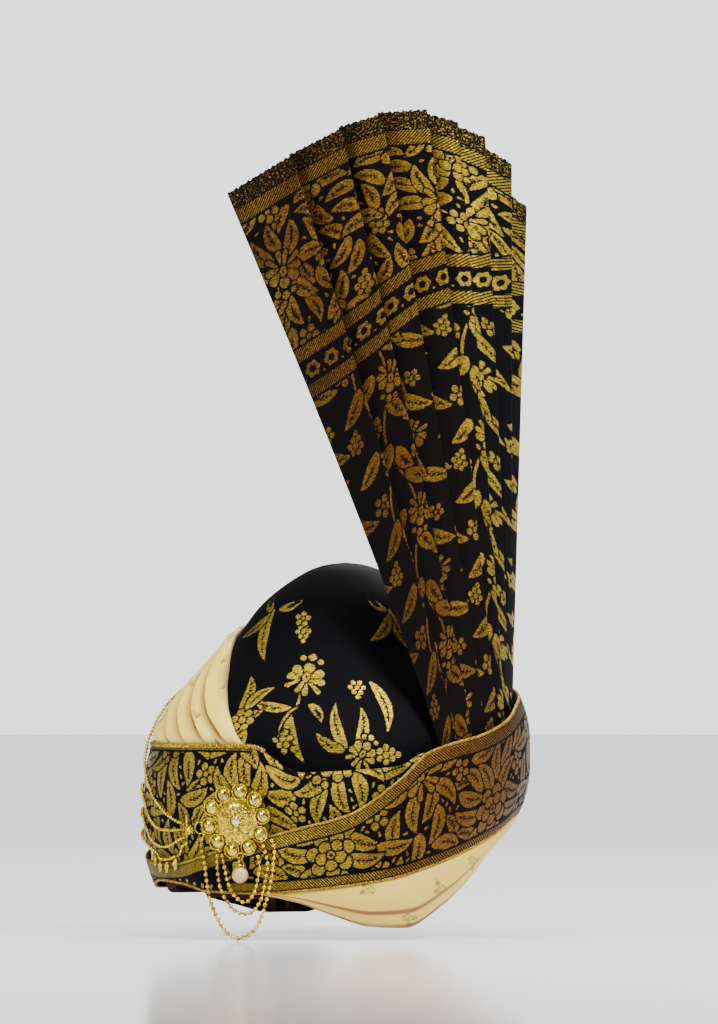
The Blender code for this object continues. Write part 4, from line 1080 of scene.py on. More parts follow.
def plain_paint(name, colour, roughness):
    """Smooth studio board."""
    made, tree, shader = new_material(name, Roughness=roughness)
    mottle = ramp_value(tree, object_noise(tree, 3.0), 0.0, 1.0, 0.0, 0.08)
    set_colour(tree, shader, mottle, colour, "#c8c8cc")
    return made


# Cloth shapes

def strip_field(edge, start, end):
    """Signed distance to a hatched strip that runs along an edge."""
    return np.abs(edge - (start + end) / 2) - (end - start) / 2


def with_back(field, rows, fill):
    """Field of a cloth's face, with rows of one value for its back."""
    return np.concatenate((field, np.full((rows, field.shape[1]), fill)))


def wrap_piece(name, node, material, face, backs, cloth, fields):
    """Ring of brocade; each field has its values on the face and one value for the back."""
    rows = len(backs)
    cloth = [with_back(places, rows, 0.0) for places in cloth]
    carried = {key: with_back(values, rows, fill) for key, (values, fill) in fields.items()}
    carried["fray"] = BARE
    made = grid_object(name, np.concatenate((face, np.array(backs))), cloth, carried, closed=True)
    finish_piece(made, material, "brocade", node)
    return made


def build_lower_wrap(material, cord_material):
    """Outer brocade wrap with its hatched borders and twisted edges."""
    turn = close_turns(WRAP_COLUMNS)
    low, high = rim_level(turn), lower_level(turn)
    level = low + (high - low) * np.linspace(0.0, 1.0, LOWER_ROWS)[:, None]
    turns = np.broadcast_to(turn, level.shape)
    down = (high - level) * 1000
    rise = (level - low) * 1000
    tall = (high - low) * 1000
    inset = lower_inset(turns, level)
    roll = 0.0016
    inset = inset + roll * 1.2 * np.maximum(0, 1 - down / 2.2) ** 2
    inset = inset + roll * np.maximum(0, 1 - rise / 2.2) ** 2
    u = np.broadcast_to(arc_length(turn), level.shape)
    slack = np.sin(u / 37.0 + rise / 29.0) * 0.00035 + np.sin(u / 13.0 - rise / 17.0) * 0.00018
    inset = inset - slack * ease(rise / 10) * ease(down / 10)
    backs = []
    for share, wall in ((1.0, 0.0022), (0.97, 0.0034), (0.6, 0.0034), (0.2, 0.0034), (0.03, 0.0032)):
        edge = low + (high - low) * share
        backs.append(ring_points(turn, lower_inset(turn, edge) + wall, edge))
    top = strip_field(down, 0.6, 8.2)
    bottom = strip_field(rise, 1.0, np.minimum(6.0, tall * 0.2))
    narrow = tall < NARROW_BAND
    bottom = np.where(narrow, 5.0, bottom)
    border = np.minimum(down - 9.4, np.where(narrow, rise + 1, rise - 7.4))
    motif = np.maximum(BAND.read(u + 8, rise + 6), -border)
    motif = np.where(narrow, np.maximum(leaf_row(u, rise), 9.0 - down), motif)
    tone = 0.45 + 0.3 * np.cos(np.radians(turns - 20)) + 0.1 * (rise / 120)
    warm = ease((turns - 58) / 50) * ease((175 - turns) / 40)
    fields = {"motif": (motif, BARE), "strip": (np.minimum(top, bottom), BARE), "tone": (tone, 0.4),
              "warm": (warm, 0.0)}
    made = wrap_piece("brocade_outer_wrap", "band_lower", material, ring_points(turns, inset, level), backs,
                      (u, rise), fields)
    cords = []
    for name, level, inward, pitch in (("top", high + 0.0002, 0.0009, 0.0032),
                                       ("rim", low - 0.0001, 0.0010, 0.0036)):
        edge = high if name == "top" else low
        line = ring_points(turn, lower_inset(turn, edge) + inward, level)
        line = np.vstack((line, line[:1]))
        cords.append(twisted_cord(f"outer_wrap_{name}_cord", line, sizes().edge_cord, pitch, closed=True))
        finish_piece(cords[-1], cord_material, "brocade")


def leaf_row(u, rise):
    """Row of small slanted leaves along a narrow stretch of band."""
    x = (u + 3.5) % 7.0 - 3.5
    y = rise - 2.6
    slanted = x * 0.82 - y * 0.57
    along = x * 0.57 + y * 0.82
    return np.hypot(slanted, along / 1.9) - 1.15


def build_upper_wrap(material, cord_material):
    """Inner brocade wrap, whose top edge carries the twisted cord over the cream silk."""
    turn = close_turns(WRAP_COLUMNS)
    high = upper_level(turn)
    bottom = np.minimum(lower_level(turn) - 0.006, high - 0.004)
    low = np.maximum(bottom, rim_level(turn) + 0.0105)
    level = low + (high - low) * np.linspace(0.0, 1.0, UPPER_ROWS)[:, None]
    turns = np.broadcast_to(turn, level.shape)
    down = (high - level) * 1000
    inset = np.minimum(upper_inset(turns, level), UPPER_INNER - 0.0012)
    inset = inset + 0.0018 * np.maximum(0, 1 - down / 2.4) ** 2
    u = np.broadcast_to(arc_length(turn), level.shape)
    slack = np.sin(u / 31.0 + down / 21.0) * 0.0004
    inset = inset - slack * ease(down / 10) * ease((level - lower_level(turn)) / 0.008)
    backs = [ring_points(turn, UPPER_INNER, low + (high - low) * share) for share in (1.0, 0.96, 0.5, 0.04)]
    motif = BAND.read(u + 62, down + 70)
    front = (turns > -150) & (turns < 46)
    strip = np.where(front, strip_field(down, 0.4, 2.2), BARE)
    motif = np.where(front, np.maximum(motif, 3.4 - down), motif)
    tone = 0.55 + 0.25 * np.cos(np.radians(turns - 40))
    fields = {"motif": (motif, BARE), "strip": (strip, BARE), "tone": (tone, 0.4)}
    made = wrap_piece("brocade_inner_wrap", "band_upper", material, ring_points(turns, inset, level), backs,
                      (u, down), fields)
    edge = ring_points(turn, upper_inset(turn, high) + 0.0012, high + 0.0003)
    shown = (turn > -170) & (turn < 50)
    cord = twisted_cord("inner_wrap_top_cord", edge[shown], sizes().top_cord, 0.0044)
    finish_piece(cord, cord_material, "brocade")


def build_cream_front(material):
    """Cream silk over the front of the cap, laid in slanting pleats."""
    turn = np.linspace(-144, 46.5, CREAM_COLUMNS)
    share = np.linspace(0.0, 1.0, CREAM_ROWS)[:, None]
    low = upper_level(turn) - CREAM_TUCK
    high = read_table(CREAM_TOP, 1, turn) * CAP_HEIGHT
    level = low + (high - low) * share
    turns = np.broadcast_to(turn, level.shape)
    phase = level * 1000 + 1.27 * turns
    folds = np.array(CREAM_FOLDS, dtype=float)
    row = np.clip(np.searchsorted(folds, phase) - 1, 0, len(folds) - 2)
    within = (phase - folds[row]) / (folds[row + 1] - folds[row])
    swell = ease(within / 0.10) * (1 - 0.85 * np.clip((within - 0.1) / 0.9, 0, 1) ** 1.3)
    free = ease((level - upper_level(turn) + 0.001) / 0.006)
    near_top = ease((high - level) / 0.004)
    lift = CREAM_WALL + LAYER_GAP + (0.0004 + 0.0030 * swell * near_top) * free + 0.0008 * free
    points = cap_points(turns, level, lift)
    hem = cap_points(turn, high - 0.0004, 0.0007)[None]
    inner = cap_points(turn, (low + high) / 2, 0.0008)[None]
    foot = cap_points(turn, low, 0.0008)[None]
    points = np.concatenate((points, hem, inner, foot))
    u = np.broadcast_to(arc_length(turn) * 0.9, level.shape)
    v = level * 1000
    motif = FLECK.read(u + 0.5 * v, v)
    # painted shade: darkest just past each pleat's edge, darkening again towards the next edge
    fold = np.maximum(1.1 - within / 0.09, 0.62 * np.clip((within - 0.45) / 0.55, 0, 1) ** 1.5)
    fold = np.clip(fold, 0, 1) * free
    fields = {"motif": with_back(motif, 3, BARE), "fold": with_back(fold, 3, 0.6)}
    made = grid_object("cream_front_silk", points, (with_back(u, 3, 0.0), with_back(v, 3, 0.0)), fields)
    finish_piece(made, material, "cream_silk", "cream_front_wrap")


def build_dip(name, table, material, slot, node, folds):
    """Cloth that hangs below the rim at one ear, laid in overlapping folds."""
    first, last = table[0][0], table[-1][0]
    turn = np.linspace(first, last, DIP_COLUMNS)
    rim = rim_level(turn)
    drop = rim - LAYER_GAP - read_table(table, 1, turn) * DIP_DEPTH
    deepest = np.max(drop)
    wander = 0.16 * np.sin((turn - first) / 24)
    steps = np.linspace(0, 1, DIP_STEPS)
    hidden = (0.97, 0.5, 0.0)
    rows = [ring_points(turn, CREAM_INSET, rim + DIP_TUCK * 0.8)]
    for share in steps:
        bulge = read_table(DIP_ROWS, 1, np.array(share))
        curl = read_table(DIP_ROWS, 2, np.array(share))
        swell = (bulge * DIP_BULGE - curl * DIP_CURL) * drop / deepest
        step = 0.0
        for fold_at, depth in folds:
            step = step + depth * ease((share - fold_at - wander) / 0.05)
        step = step * ease(share / 0.1) * np.clip(drop / deepest * 2, 0, 1)
        rows.append(ring_points(turn, CREAM_INSET - swell + step, rim - LAYER_GAP - share * drop))
    rows += [ring_points(turn, CREAM_INSET + 0.0018, rim - share * drop) for share in hidden]
    points = np.array(rows)[::-1]
    u = np.broadcast_to(arc_length(turn), points.shape[:2])
    v = points[..., 2] * 1000
    figure = VINE.read(v + 12, u + 9) if slot == "brocade" else FLECK.read(u * 0.9, v * 1.1 + 9)
    # painted shade along each fold line, and a light painted shade over the rest, used by the cream silk
    edge = np.zeros(points.shape[:2])
    shares = np.concatenate(([0.0], steps, hidden))[::-1, None]
    for fold_at, _ in folds:
        near = np.abs(shares - fold_at - wander - 0.03)
        edge = np.maximum(edge, np.clip(1 - near / 0.09, 0, 1) * 0.9)
    fields = {"motif": figure, "strip": BARE, "fray": BARE, "tone": 0.3, "fold": np.maximum(edge, 0.25)}
    made = grid_object(name, points, (u, v), fields)
    finish_piece(made, material, slot, node)


def build_lining(material):
    """Padded maroon headband with a rolled lower edge."""
    turn = np.linspace(-180, 180, 361)[:-1]
    low = rim_level(turn) - LINING_SHOW
    high = rim_level(turn) + LINING_RISE
    section = ((0.0, 1.0), (0.0, 0.25), (0.03, 0.10), (0.14, 0.03), (0.35, 0.0), (0.62, 0.0), (0.85, 0.05),
               (0.95, 0.14), (1.0, 0.30), (1.0, 0.55), (0.97, 0.80), (0.80, 0.95), (0.55, 1.0))
    rows = []
    for inset, rise in section:
        quilt = 0.0003 * np.sin(np.radians(turn) * 60) * (0.3 < rise < 0.9)
        rows.append(ring_points(turn, LINING_INSET + inset * LINING_WALL + quilt, low + (high - low) * rise))
    points = np.array(rows + rows[:1])[::-1]
    u = np.broadcast_to(arc_length(turn), points.shape[:2])
    made = grid_object("padded_headband", points, (u, points[..., 2] * 1000), {}, closed=True)
    finish_piece(made, material, "maroon_lining", "rim_lining")


def tangent_places(points, centre, turn):
    """Millimetres across and up the cap's face from a centre."""
    side = np.array((math.cos(math.radians(turn)), math.sin(math.radians(turn)), 0.0))
    ahead = cap_points(np.array(turn), np.array(centre[2] + 0.002))
    back = cap_points(np.array(turn), np.array(centre[2] - 0.002))
    up = (ahead - back) / np.linalg.norm(ahead - back)
    away = points - centre
    return away @ side * 1000, away @ up * 1000


def cap_leaf(x, y, size):
    """Leaf of a spray on the cap."""
    return leaf(x, y, size, 5.5 + 0.075 * size, 1.0)


def cap_stem(x, y, size):
    """Stem of a spray on the cap."""
    return leaf(x, y, size, 1.9, 0.8, veined=False)


def cap_figure(points):
    """Sprays of flowers on the cap, repeated round it."""
    field = np.full(points.shape[:-1], FAR)
    shapes = {"blossom": blossom, "flower": small_flower, "berries": berries, "leaf": cap_leaf,
              "stem": cap_stem}
    for round_place in (0, 88, 176, 264):
        for place, (kind, turn, level, lean, size) in enumerate(CAP_SPRAYS):
            at = turn + round_place
            centre = cap_points(np.array(float(at)), np.array(level))
            x, y = tangent_places(points, centre, at)
            near = (np.hypot(x, y) < 1.5 * size + 4) & (np.linalg.norm(points - centre, axis=-1) < 0.05)
            if not near.any():
                continue
            angle = math.radians(lean)
            across = x[near] * math.cos(angle) + y[near] * math.sin(angle)
            up = -x[near] * math.sin(angle) + y[near] * math.cos(angle)
            across = across * (1 if place % 2 else -1)
            field[near] = over(field[near], shapes[kind](across, up, size))
    return field


def build_cap(material):
    """Stiff brocade dome with gold sprays and a plain crown."""
    turn = close_turns(CAP_COLUMNS)
    low = rim_level(turn) + 0.002
    shares = np.concatenate((np.linspace(0, 0.999, CAP_ROWS), (0.9999,)))[:, None]
    start = np.maximum(low, 0.066)
    level = start + (CAP_HEIGHT - start) * shares ** 0.92
    turns = np.broadcast_to(turn, level.shape)
    slack = 0.0005 * np.sin(np.radians(turns) * 3 + level * 60) * ease((CAP_HEIGHT - level) / 0.03)
    face = cap_points(turns, np.minimum(level, CAP_HEIGHT * 0.99985), slack)
    inside = [cap_points(turn, start + (CAP_HEIGHT - 0.003 - start) * share, -0.0028)
              for share in (0.93, 0.8, 0.6, 0.4, 0.2, 0.0)]
    inside += [cap_points(turn, low, -0.0026), cap_points(turn, low)]
    points = np.concatenate((np.array(inside), face))
    hidden = len(inside)
    motif = cap_figure(points)
    motif[hidden:] += 3.0 * np.clip((level - 0.17) / 0.02, 0, 1) ** 2
    motif[:hidden] = BARE
    u = np.broadcast_to(np.radians(turn) * 60, points.shape[:2])
    tone = 0.85 - 0.35 * ease((np.abs(turn - 60) - 20) / 60)
    fields = {"motif": motif, "strip": BARE, "fray": BARE, "tone": tone}
    made = grid_object("brocade_cap", points, (u, points[..., 2] * 1000), fields, closed=True)
    finish_piece(made, material, "brocade", "kulla_cap")


def fan_base(share):
    """Points and outward directions of the fan's foot."""
    turn = FAN_BASE_START + (FAN_BASE_END - FAN_BASE_START) * share
    level = lower_level(turn)
    over_lean = OVER_DEPTH * np.maximum(0.0, (level - OVER_LEVEL) / (BAND_HEIGHT - OVER_LEVEL)) ** 2
    inset = BAND_WALL + over_lean + FAN_BASE_CLEARANCE + FAN_PLEAT_BASE / 2
    return ring_points(turn, inset, level - FAN_TUCK), outward(turn)


def fan_plan(share):
    """Points of the fan's plan at its top, at level 0."""
    angle = math.radians(FAN_AZIMUTH)
    side = np.array((math.cos(angle), math.sin(angle), 0))
    face = np.array((math.sin(angle), -math.cos(angle), 0))
    depth = read_table(FAN_FOLDS, 3, share) * FAN_REACH
    return side * (FAN_LEFT + FAN_WIDTH * share)[..., None] + face * depth[..., None]


def fan_cloth():
    """Columns of the pleated cloth.

    Each is base share, top share, pleat depth, top level, place from the fold
    and pleat.
    """
    rows = []
    count = len(FAN_FOLDS) - 1
    for pleat in range(count):
        start, _, start_top = FAN_FOLDS[pleat][:3]
        end, end_top, _ = FAN_FOLDS[pleat + 1][:3]
        steps = 6 + int((end - start) * FAN_WIDTH * 1000 / 1.05)
        for place in np.linspace(0, 1, steps):
            first = -0.05 if pleat else 0.0
            across = first + (1 - first) * place
            depth = np.interp(place, (0, 0.06, 0.5, 0.95, 1.0), (-0.46, -0.5, 0.15, 0.5, 0.46))
            level = (start_top + (end_top - start_top) * max(across, 0.0)) * FAN_TOP
            rows.append(((pleat + max(across, 0.05)) / count, start + (end - start) * across,
                         depth, level, (1 - place) * (end - start), pleat))
        if pleat < count - 1:
            next_end, next_top = FAN_FOLDS[pleat + 2][0], FAN_FOLDS[pleat + 1][2]
            for place in (0.2, 0.4, 0.6, 0.8):
                top_share = end - 0.05 * (next_end - end) * place
                rows.append(((pleat + 1 + 0.05 * place) / count, top_share, 0.46 - 0.92 * place,
                             (end_top * (1 - place) + next_top * place) * FAN_TOP, -0.01 * place, pleat))
    return np.array(rows)


def fan_points(columns, rise):
    """Points of the fan's cloth; rise is a column of shares of its height."""
    base, base_out = fan_base(columns[:, 0])
    top = fan_plan(columns[:, 1])
    along = fan_plan(np.minimum(columns[:, 1] + 0.02, 1.0)) - fan_plan(np.maximum(columns[:, 1] - 0.02, 0.0))
    top_out = np.stack((along[:, 1], -along[:, 0], 0 * along[:, 0]), axis=-1)
    top_out /= np.linalg.norm(top_out, axis=-1, keepdims=True)
    spread = (rise ** FAN_SPREAD_POWER)[..., None]
    lean = base_out + (top_out - base_out) * rise[..., None]
    lean /= np.linalg.norm(lean, axis=-1, keepdims=True)
    amount = columns[:, 2] * (FAN_PLEAT_BASE + (FAN_PLEAT_TOP - FAN_PLEAT_BASE) * rise)
    points = base + (top - base) * spread + lean * amount[..., None]
    points[..., 2] = base[:, 2] + (columns[:, 3] - base[:, 2]) * rise
    return points


def build_fan(material):
    """Tall pleated brocade fan with a frayed end, hatched borders and climbing vines."""
    columns = fan_cloth()
    rise = np.broadcast_to(np.linspace(0, 1, FAN_ROWS)[:, None], (FAN_ROWS, len(columns)))
    points = fan_points(columns, rise)
    run = np.linalg.norm(np.diff(points, axis=0), axis=-1)
    from_base = np.concatenate((np.zeros((1, len(columns))), np.cumsum(run, axis=0)))
    v = (from_base[-1] - from_base) * 1000
    base_width = 95.0
    width = base_width + (FAN_WIDTH * 1000 - base_width) * rise
    pleat = columns[:, 5]
    u = pleat * 53.0 - columns[:, 4] * width
    folds = np.array(FAN_FOLDS)
    second = read_smooth(folds[:, 0], folds[:, 4], np.clip(columns[:, 1], 0, 1))
    jitter = 0.0009 * np.sin(u[-1] * 2.9) * np.sin(u[-1] * 1.3 + 1)
    points[-1, :, 2] += jitter
    points[-2, :, 2] += jitter * 0.5
    strips = strip_field(v, 12.0, 20.6)
    for start in (second, second + 23.0):
        strips = np.minimum(strips, strip_field(v, start, start + 7.6))
    field = np.maximum(FIELD.read(u, v + 3), np.maximum(21.8 - v, v - second + 1.2))
    eye_pitch = 13.0
    from_row = v - second - 15.3
    eyes = eye_flower((u + eye_pitch / 2) % eye_pitch - eye_pitch / 2, from_row, 5.3)
    buds = np.hypot(u % eye_pitch - eye_pitch / 2, from_row - 4.2) - 0.9
    row = np.maximum(np.minimum(eyes, buds), np.abs(from_row) - 6.6)
    vine = np.maximum(VINE.read(u + 24 + 3 * pleat, v + 42 * (pleat % 2)), second + 32.0 - v)
    motif = np.minimum(np.minimum(field, row), vine)
    place = np.broadcast_to(columns[:, 1], v.shape)
    # painted light and shade: the gilt is darker to the left, where the fan is lit less, brighter to the
    # right, and a little darker towards the foot
    tone = 0.10 + 0.85 * ease((place - 0.1) / 0.85) - 0.15 * ease(v / 400)
    fray = np.maximum(v - 11.4, -v - 1)
    warm = 0.65 * ease((place + 0.15) / 0.35) * ease((0.85 - place) / 0.25)
    fields = {"motif": motif, "strip": strips, "fray": fray, "tone": tone, "warm": warm}
    made = grid_object("turra_brocade_fan", points, (u, v), fields)
    finish_piece(made, material, "brocade", "turra_fan")


BAND = band_ornament()
FIELD = fan_ornament()
VINE = vine_ornament()
FLECK = fleck_ornament()


# Brooch, drop and chains

def brooch_frame():
    """Placement of the brooch: X along the band, Y up, Z out."""
    out = Vector(outward(BROOCH_TURN))
    up = Vector((0, 0, 1))
    side = up.cross(out)
    centre = Vector(ring_points(BROOCH_TURN, 0.0, BROOCH_LEVEL))
    reach = PETAL_RING_RADIUS + BEZEL_RADIUS
    turn, level = np.meshgrid(np.linspace(BROOCH_TURN - 14, BROOCH_TURN + 14, 15),
                              np.linspace(BROOCH_LEVEL - reach, BROOCH_LEVEL + reach, 15))
    points = ring_points(turn, band_inset(turn, level), level)
    seat = np.max((points - np.array(centre)) @ np.array(out))
    made = Matrix((side, up, out)).transposed().to_4x4()
    made.translation = centre + out * (float(seat) + BROOCH_GAP)
    return made


def pearl_depth(frame_at):
    """How far the pearl's axis stands out from the brooch's back."""
    turn = BROOCH_TURN + math.degrees(LOOP_SIDE / (BAND_LENGTH / 2))
    level = BROOCH_LEVEL - LOOP_DROP - LOOP_RADIUS - PEARL_CAP_HEIGHT - 2 * PEARL_RADIUS / 3
    skin = Vector(ring_points(turn, band_inset(turn, np.array(level)), level))
    return (frame_at.inverted() @ skin).z + PEARL_RADIUS + PEARL_STANDOFF


def petal_centres():
    """Centres of the ten bezels."""
    for petal in range(PETAL_COUNT):
        angle = math.radians(PETAL_FIRST_ANGLE + 360 / PETAL_COUNT * petal)
        yield PETAL_RING_RADIUS * math.cos(angle), PETAL_RING_RADIUS * math.sin(angle)


def build_brooch(metal):
    """Gold back, ten collet bezels with beaded rims, pierced dome, lug and loop."""
    frame_at = brooch_frame()
    work = Metalwork()
    rim, top = PLATE_RADIUS, PLATE_THICKNESS
    work.lathe(((0.001, 0), (rim, 0), (rim + 0.0004, 0.0005), (rim, top), (rim - 0.001, top + 0.0003),
                (0.001, top + 0.0003)), 48)
    radius = BEZEL_RADIUS
    for centre in petal_centres():
        work.lathe(((radius - 0.0008, 0.0003), (radius - 0.0002, 0.0003), (radius, 0.0012),
                    (radius - 0.0001, 0.0024), (radius - 0.0004, BEZEL_HEIGHT),
                    (radius - 0.0009, BEZEL_HEIGHT), (radius - 0.0012, 0.0023),
                    (radius - 0.0013, SEAT_FLOOR), (0.0003, SEAT_FLOOR)), 32,
                   Matrix.Translation((*centre, 0)))
        work.grains(14, radius - 0.0006, BEZEL_HEIGHT, 0.00048, centre)
    between = math.radians(PETAL_FIRST_ANGLE + 180 / PETAL_COUNT)
    work.grains(PETAL_COUNT, PETAL_RING_RADIUS * 0.78, 0.0026, 0.0010, start=between)
    dome = DOME_RADIUS
    work.lathe(((dome * 0.98, 0.0008), (dome, 0.0016), (dome * 0.97, 0.0022), (dome * 0.9, 0.0025),
                (dome * 0.7, 0.0029), (dome * 0.42, DOME_HEIGHT + 0.0002),
                (dome * 0.38, DOME_HEIGHT + 0.0006), (dome * 0.34, DOME_HEIGHT + 0.0006),
                (dome * 0.30, 0.0022), (0.0002, 0.0020)), 48)
    # ring as a share of the dome's radius, count, bead radius, height, turn
    rings = ((0.95, 26, 0.00095, 0.0023, 0.0), (0.76, 12, 0.00075, 0.0030, 0.228),
             (0.62, 18, 0.00085, 0.0031, 0.0), (0.48, 7, 0.0008, 0.0035, 0.144),
             (0.34, 9, 0.00065, 0.0037, 0.102))
    for share, count, size, height, start in rings:
        work.grains(count, dome * share, height, size, start=start + math.pi / count)
    work.lathe(((0.0001, 0.0006), (0.0015, 0.0006), (0.0016, 0.0013), (0.0010, 0.0020), (0.0001, 0.0021)), 20,
               Matrix.Translation((-LUG_SIDE, -LUG_DROP, 0)))
    depth = pearl_depth(frame_at)
    work.lathe(((0.0009, 0.0004), (0.0008, 0.0020), (0.0006, depth - 0.0006), (0.0004, depth)), 16,
               Matrix.Translation((LOOP_SIDE, LOOP_RADIUS - LOOP_DROP, 0)))
    work.ring(LOOP_RADIUS, LOOP_WIRE, Matrix.Translation((LOOP_SIDE, -LOOP_DROP, depth)))
    finish_piece(work.make("flower_brooch", frame_at), metal, "gold_metal", "brooch_plate")


def build_stones(glass, small_glass):
    """Cut stones of the petals, the centre and the cluster round it."""
    frame_at = brooch_frame()
    for place, centre in enumerate(petal_centres(), 1):
        made = cut_stone(frame_at, centre, sizes().petal_stone, SEAT_FLOOR + 0.0002,
                         sizes().petal_stone_height, f"petal_cut_stone_{place:02d}")
        finish_piece(made, glass, "cut_stone", f"petal_stone_{place:02d}")
    made = cut_stone(frame_at, (0, 0), CENTRE_STONE_RADIUS, 0.0022, 0.0024, "centre_cut_stone")
    finish_piece(made, small_glass, "cut_stone", "centre_stone")
    number = 0
    for share, count, size, low in ((0.48, 7, 0.0013, 0.0026), (0.76, 12, 0.0012, 0.0022)):
        for seat in range(count):
            angle = 2 * math.pi * seat / count + 0.3 * share
            centre = (DOME_RADIUS * share * math.cos(angle), DOME_RADIUS * share * math.sin(angle))
            number += 1
            made = cut_stone(frame_at, centre, size, low, 0.0011, f"cluster_stone_{number:02d}")
            finish_piece(made, glass if number % 3 else small_glass, "cut_stone")


def build_pearl(nacre, metal):
    """Pearl drop with its fluted cap and bail."""
    frame_at = brooch_frame()
    pivot = frame_at @ Matrix.Translation((LOOP_SIDE, -LOOP_DROP - LOOP_RADIUS, pearl_depth(frame_at)))
    bail_level = -1.35 * LOOP_WIRE
    cap_top = bail_level - LOOP_RADIUS - 0.2 * LOOP_WIRE
    cap_low = cap_top - PEARL_CAP_HEIGHT
    upright = Matrix.Rotation(math.radians(-90), 4, "X")
    work = Metalwork()
    place = Matrix.Translation((0, cap_low, 0)) @ upright
    work.lathe(((0.0022, 0.0), (PEARL_CAP_RADIUS, 0.0003), (0.0021, 0.0009), (0.0013, 0.0014),
                (0.0008, PEARL_CAP_HEIGHT), (0.0002, PEARL_CAP_HEIGHT + 0.0001)), 28, place)
    work.grains(10, 0.0022, 0.0003, 0.00042, place=place)
    work.ring(LOOP_RADIUS, LOOP_WIRE,
              Matrix.Translation((0, bail_level, 0)) @ Matrix.Rotation(math.radians(90), 4, "Y"))
    finish_piece(work.make("fluted_pearl_cap", pivot), metal, "gold_metal", "pearl_cap", body="pearl_drop")
    build = bmesh.new()
    bmesh.ops.create_uvsphere(build, u_segments=40, v_segments=24, radius=PEARL_RADIUS)
    mesh = bpy.data.meshes.new("round_pearl")
    build.to_mesh(mesh)
    build.free()
    mesh.shade_smooth()
    pearl = place_object("round_pearl", mesh)
    pearl.matrix_world = pivot @ Matrix.Translation((0, cap_low - LAYER_GAP - PEARL_RADIUS, 0))
    finish_piece(pearl, nacre, "pearl", "pearl", body="pearl_drop")


def read_route(route):
    """Turns and levels of a chain, read smoothly between those chosen."""
    rows = np.array(route)
    marks = np.arange(len(rows))
    wanted = np.linspace(0, len(rows) - 1, 4 * (len(rows) - 1) + 1)
    return read_smooth(marks, rows[:, 0], wanted), read_smooth(marks, rows[:, 1], wanted)


def smooth_line(points):
    """Fine curve through a chain's points."""
    legs = np.linalg.norm(np.diff(points, axis=0), axis=1)
    places = np.concatenate(([0.0], np.cumsum(legs)))
    fine = np.linspace(0, places[-1], 600)
    return np.stack([read_smooth(places, points[:, axis], fine) for axis in range(3)], axis=-1)


def swag_line(route):
    """Line of a chain that hangs in front of the band and below it."""
    turn, level = read_route(route)
    return smooth_line(ring_points(turn, -BEAD_RADIUS - CHAIN_GAP, level))


def strand_line(route):
    """Line of a fine chain that lies on the band or on the cream silk."""
    turn, level = read_route(route)
    on_band = ring_points(turn, near_inset(turn, level, 0.002, 0.005) - STRAND_RADIUS - CHAIN_GAP, level)
    lift = CREAM_WALL + 2.2 * CREAM_STEP + CREAM_REST + STRAND_RADIUS + CHAIN_GAP
    on_cream = cap_points(turn, level, lift)
    high = level > upper_level(turn) + 2 * STRAND_RADIUS
    return smooth_line(np.where(high[:, None], on_cream, on_band))


def build_swags(metal):
    """Three swags of round beads on thin links."""
    for name, route in (("outer", SWAG_OUTER), ("middle", SWAG_MIDDLE), ("inner", SWAG_INNER)):
        made = bead_chain(f"beaded_swag_{name}", swag_line(route), sizes().swag_bead, sizes().swag_pitch, 3,
                          0.00045)
        finish_piece(made, metal, "gold_metal", f"swag_chain_{name}")


def build_front_chains(metal):
    """Four fine ball chains that cross the front."""
    for place, route in enumerate(FRONT_CHAINS):
        made = bead_chain(f"ball_chain_{place + 1}", strand_line(route), sizes().ball, sizes().ball_pitch, 2,
                          0.00035)
        finish_piece(made, metal, "gold_metal", f"front_chain_{place + 1}")


def node_frame(node, turn):
    """Centre of a CAD node's box, with Z out of the band."""
    low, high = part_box(node)
    out = Vector(outward(turn))
    up = Vector((0, 0, 1))
    made = Matrix((up.cross(out), up, out)).transposed().to_4x4()
    made.translation = (low + high) / 2
    return made


def finish_metal(work, name, node, turn, metal):
    """Place gathered metal on its CAD node."""
    finish_piece(work.make(name, node_frame(node, turn)), metal, "gold_metal", node)


def build_small_metal(metal):
    """Spacer bar, cluster bead, ring, far pin and leaf drops."""
    work = Metalwork()
    along = Matrix.Rotation(math.radians(-90), 4, "X")
    half = 0.0095
    work.lathe(((0.0004, -half), (0.0011, -half + 0.0004), (0.0008, -half + 0.0012), (0.0008, half - 0.0012),
                (0.0011, half - 0.0004), (0.0004, half)), 16, along)
    for level in (-0.0075, -0.0040, 0.0, 0.0032):
        work.lathe(((0.0008, level - 0.0004), (0.0012, level), (0.0008, level + 0.0004)), 16, along, False)
    finish_metal(work, "spacer_rod", "chain_spacer", 22.6, metal)
    work = Metalwork()
    core = 0.0024
    work.bead((0, 0, 0), core, 3)
    for tilt, count, start in ((-58, 5, 0.0), (-22, 9, 0.0), (14, 9, 0.5), (50, 6, 0.5)):
        tilt = math.radians(tilt)
        work.grains(count, core * math.cos(tilt), core * math.sin(tilt), 0.00066,
                    start=2 * math.pi * start / count)
    finish_metal(work, "cluster_bead", "spacer_bead", 24.5, metal)
    work = Metalwork()
    work.ring(0.0036, 0.0005, Matrix.Identity(4), 36)
    finish_metal(work, "joining_ring", "spacer_ring", 28.3, metal)
    work = Metalwork()
    work.lathe(((0.0002, -0.001), (0.0044, -0.001), (0.0045, -0.0006), (0.0043, -0.0002), (0.0036, 0.0),
                (0.0030, 0.0006), (0.0016, 0.0010), (0.0002, 0.0011)), 36)
    work.grains(18, 0.0039, 0.0, 0.0005)
    finish_metal(work, "round_far_pin", "far_pin", -66.0, metal)
    for place, turn in enumerate((15.6, 10.4, 5.4, 0.8, -3.6), 1):
        build_leaf(place, turn, metal)


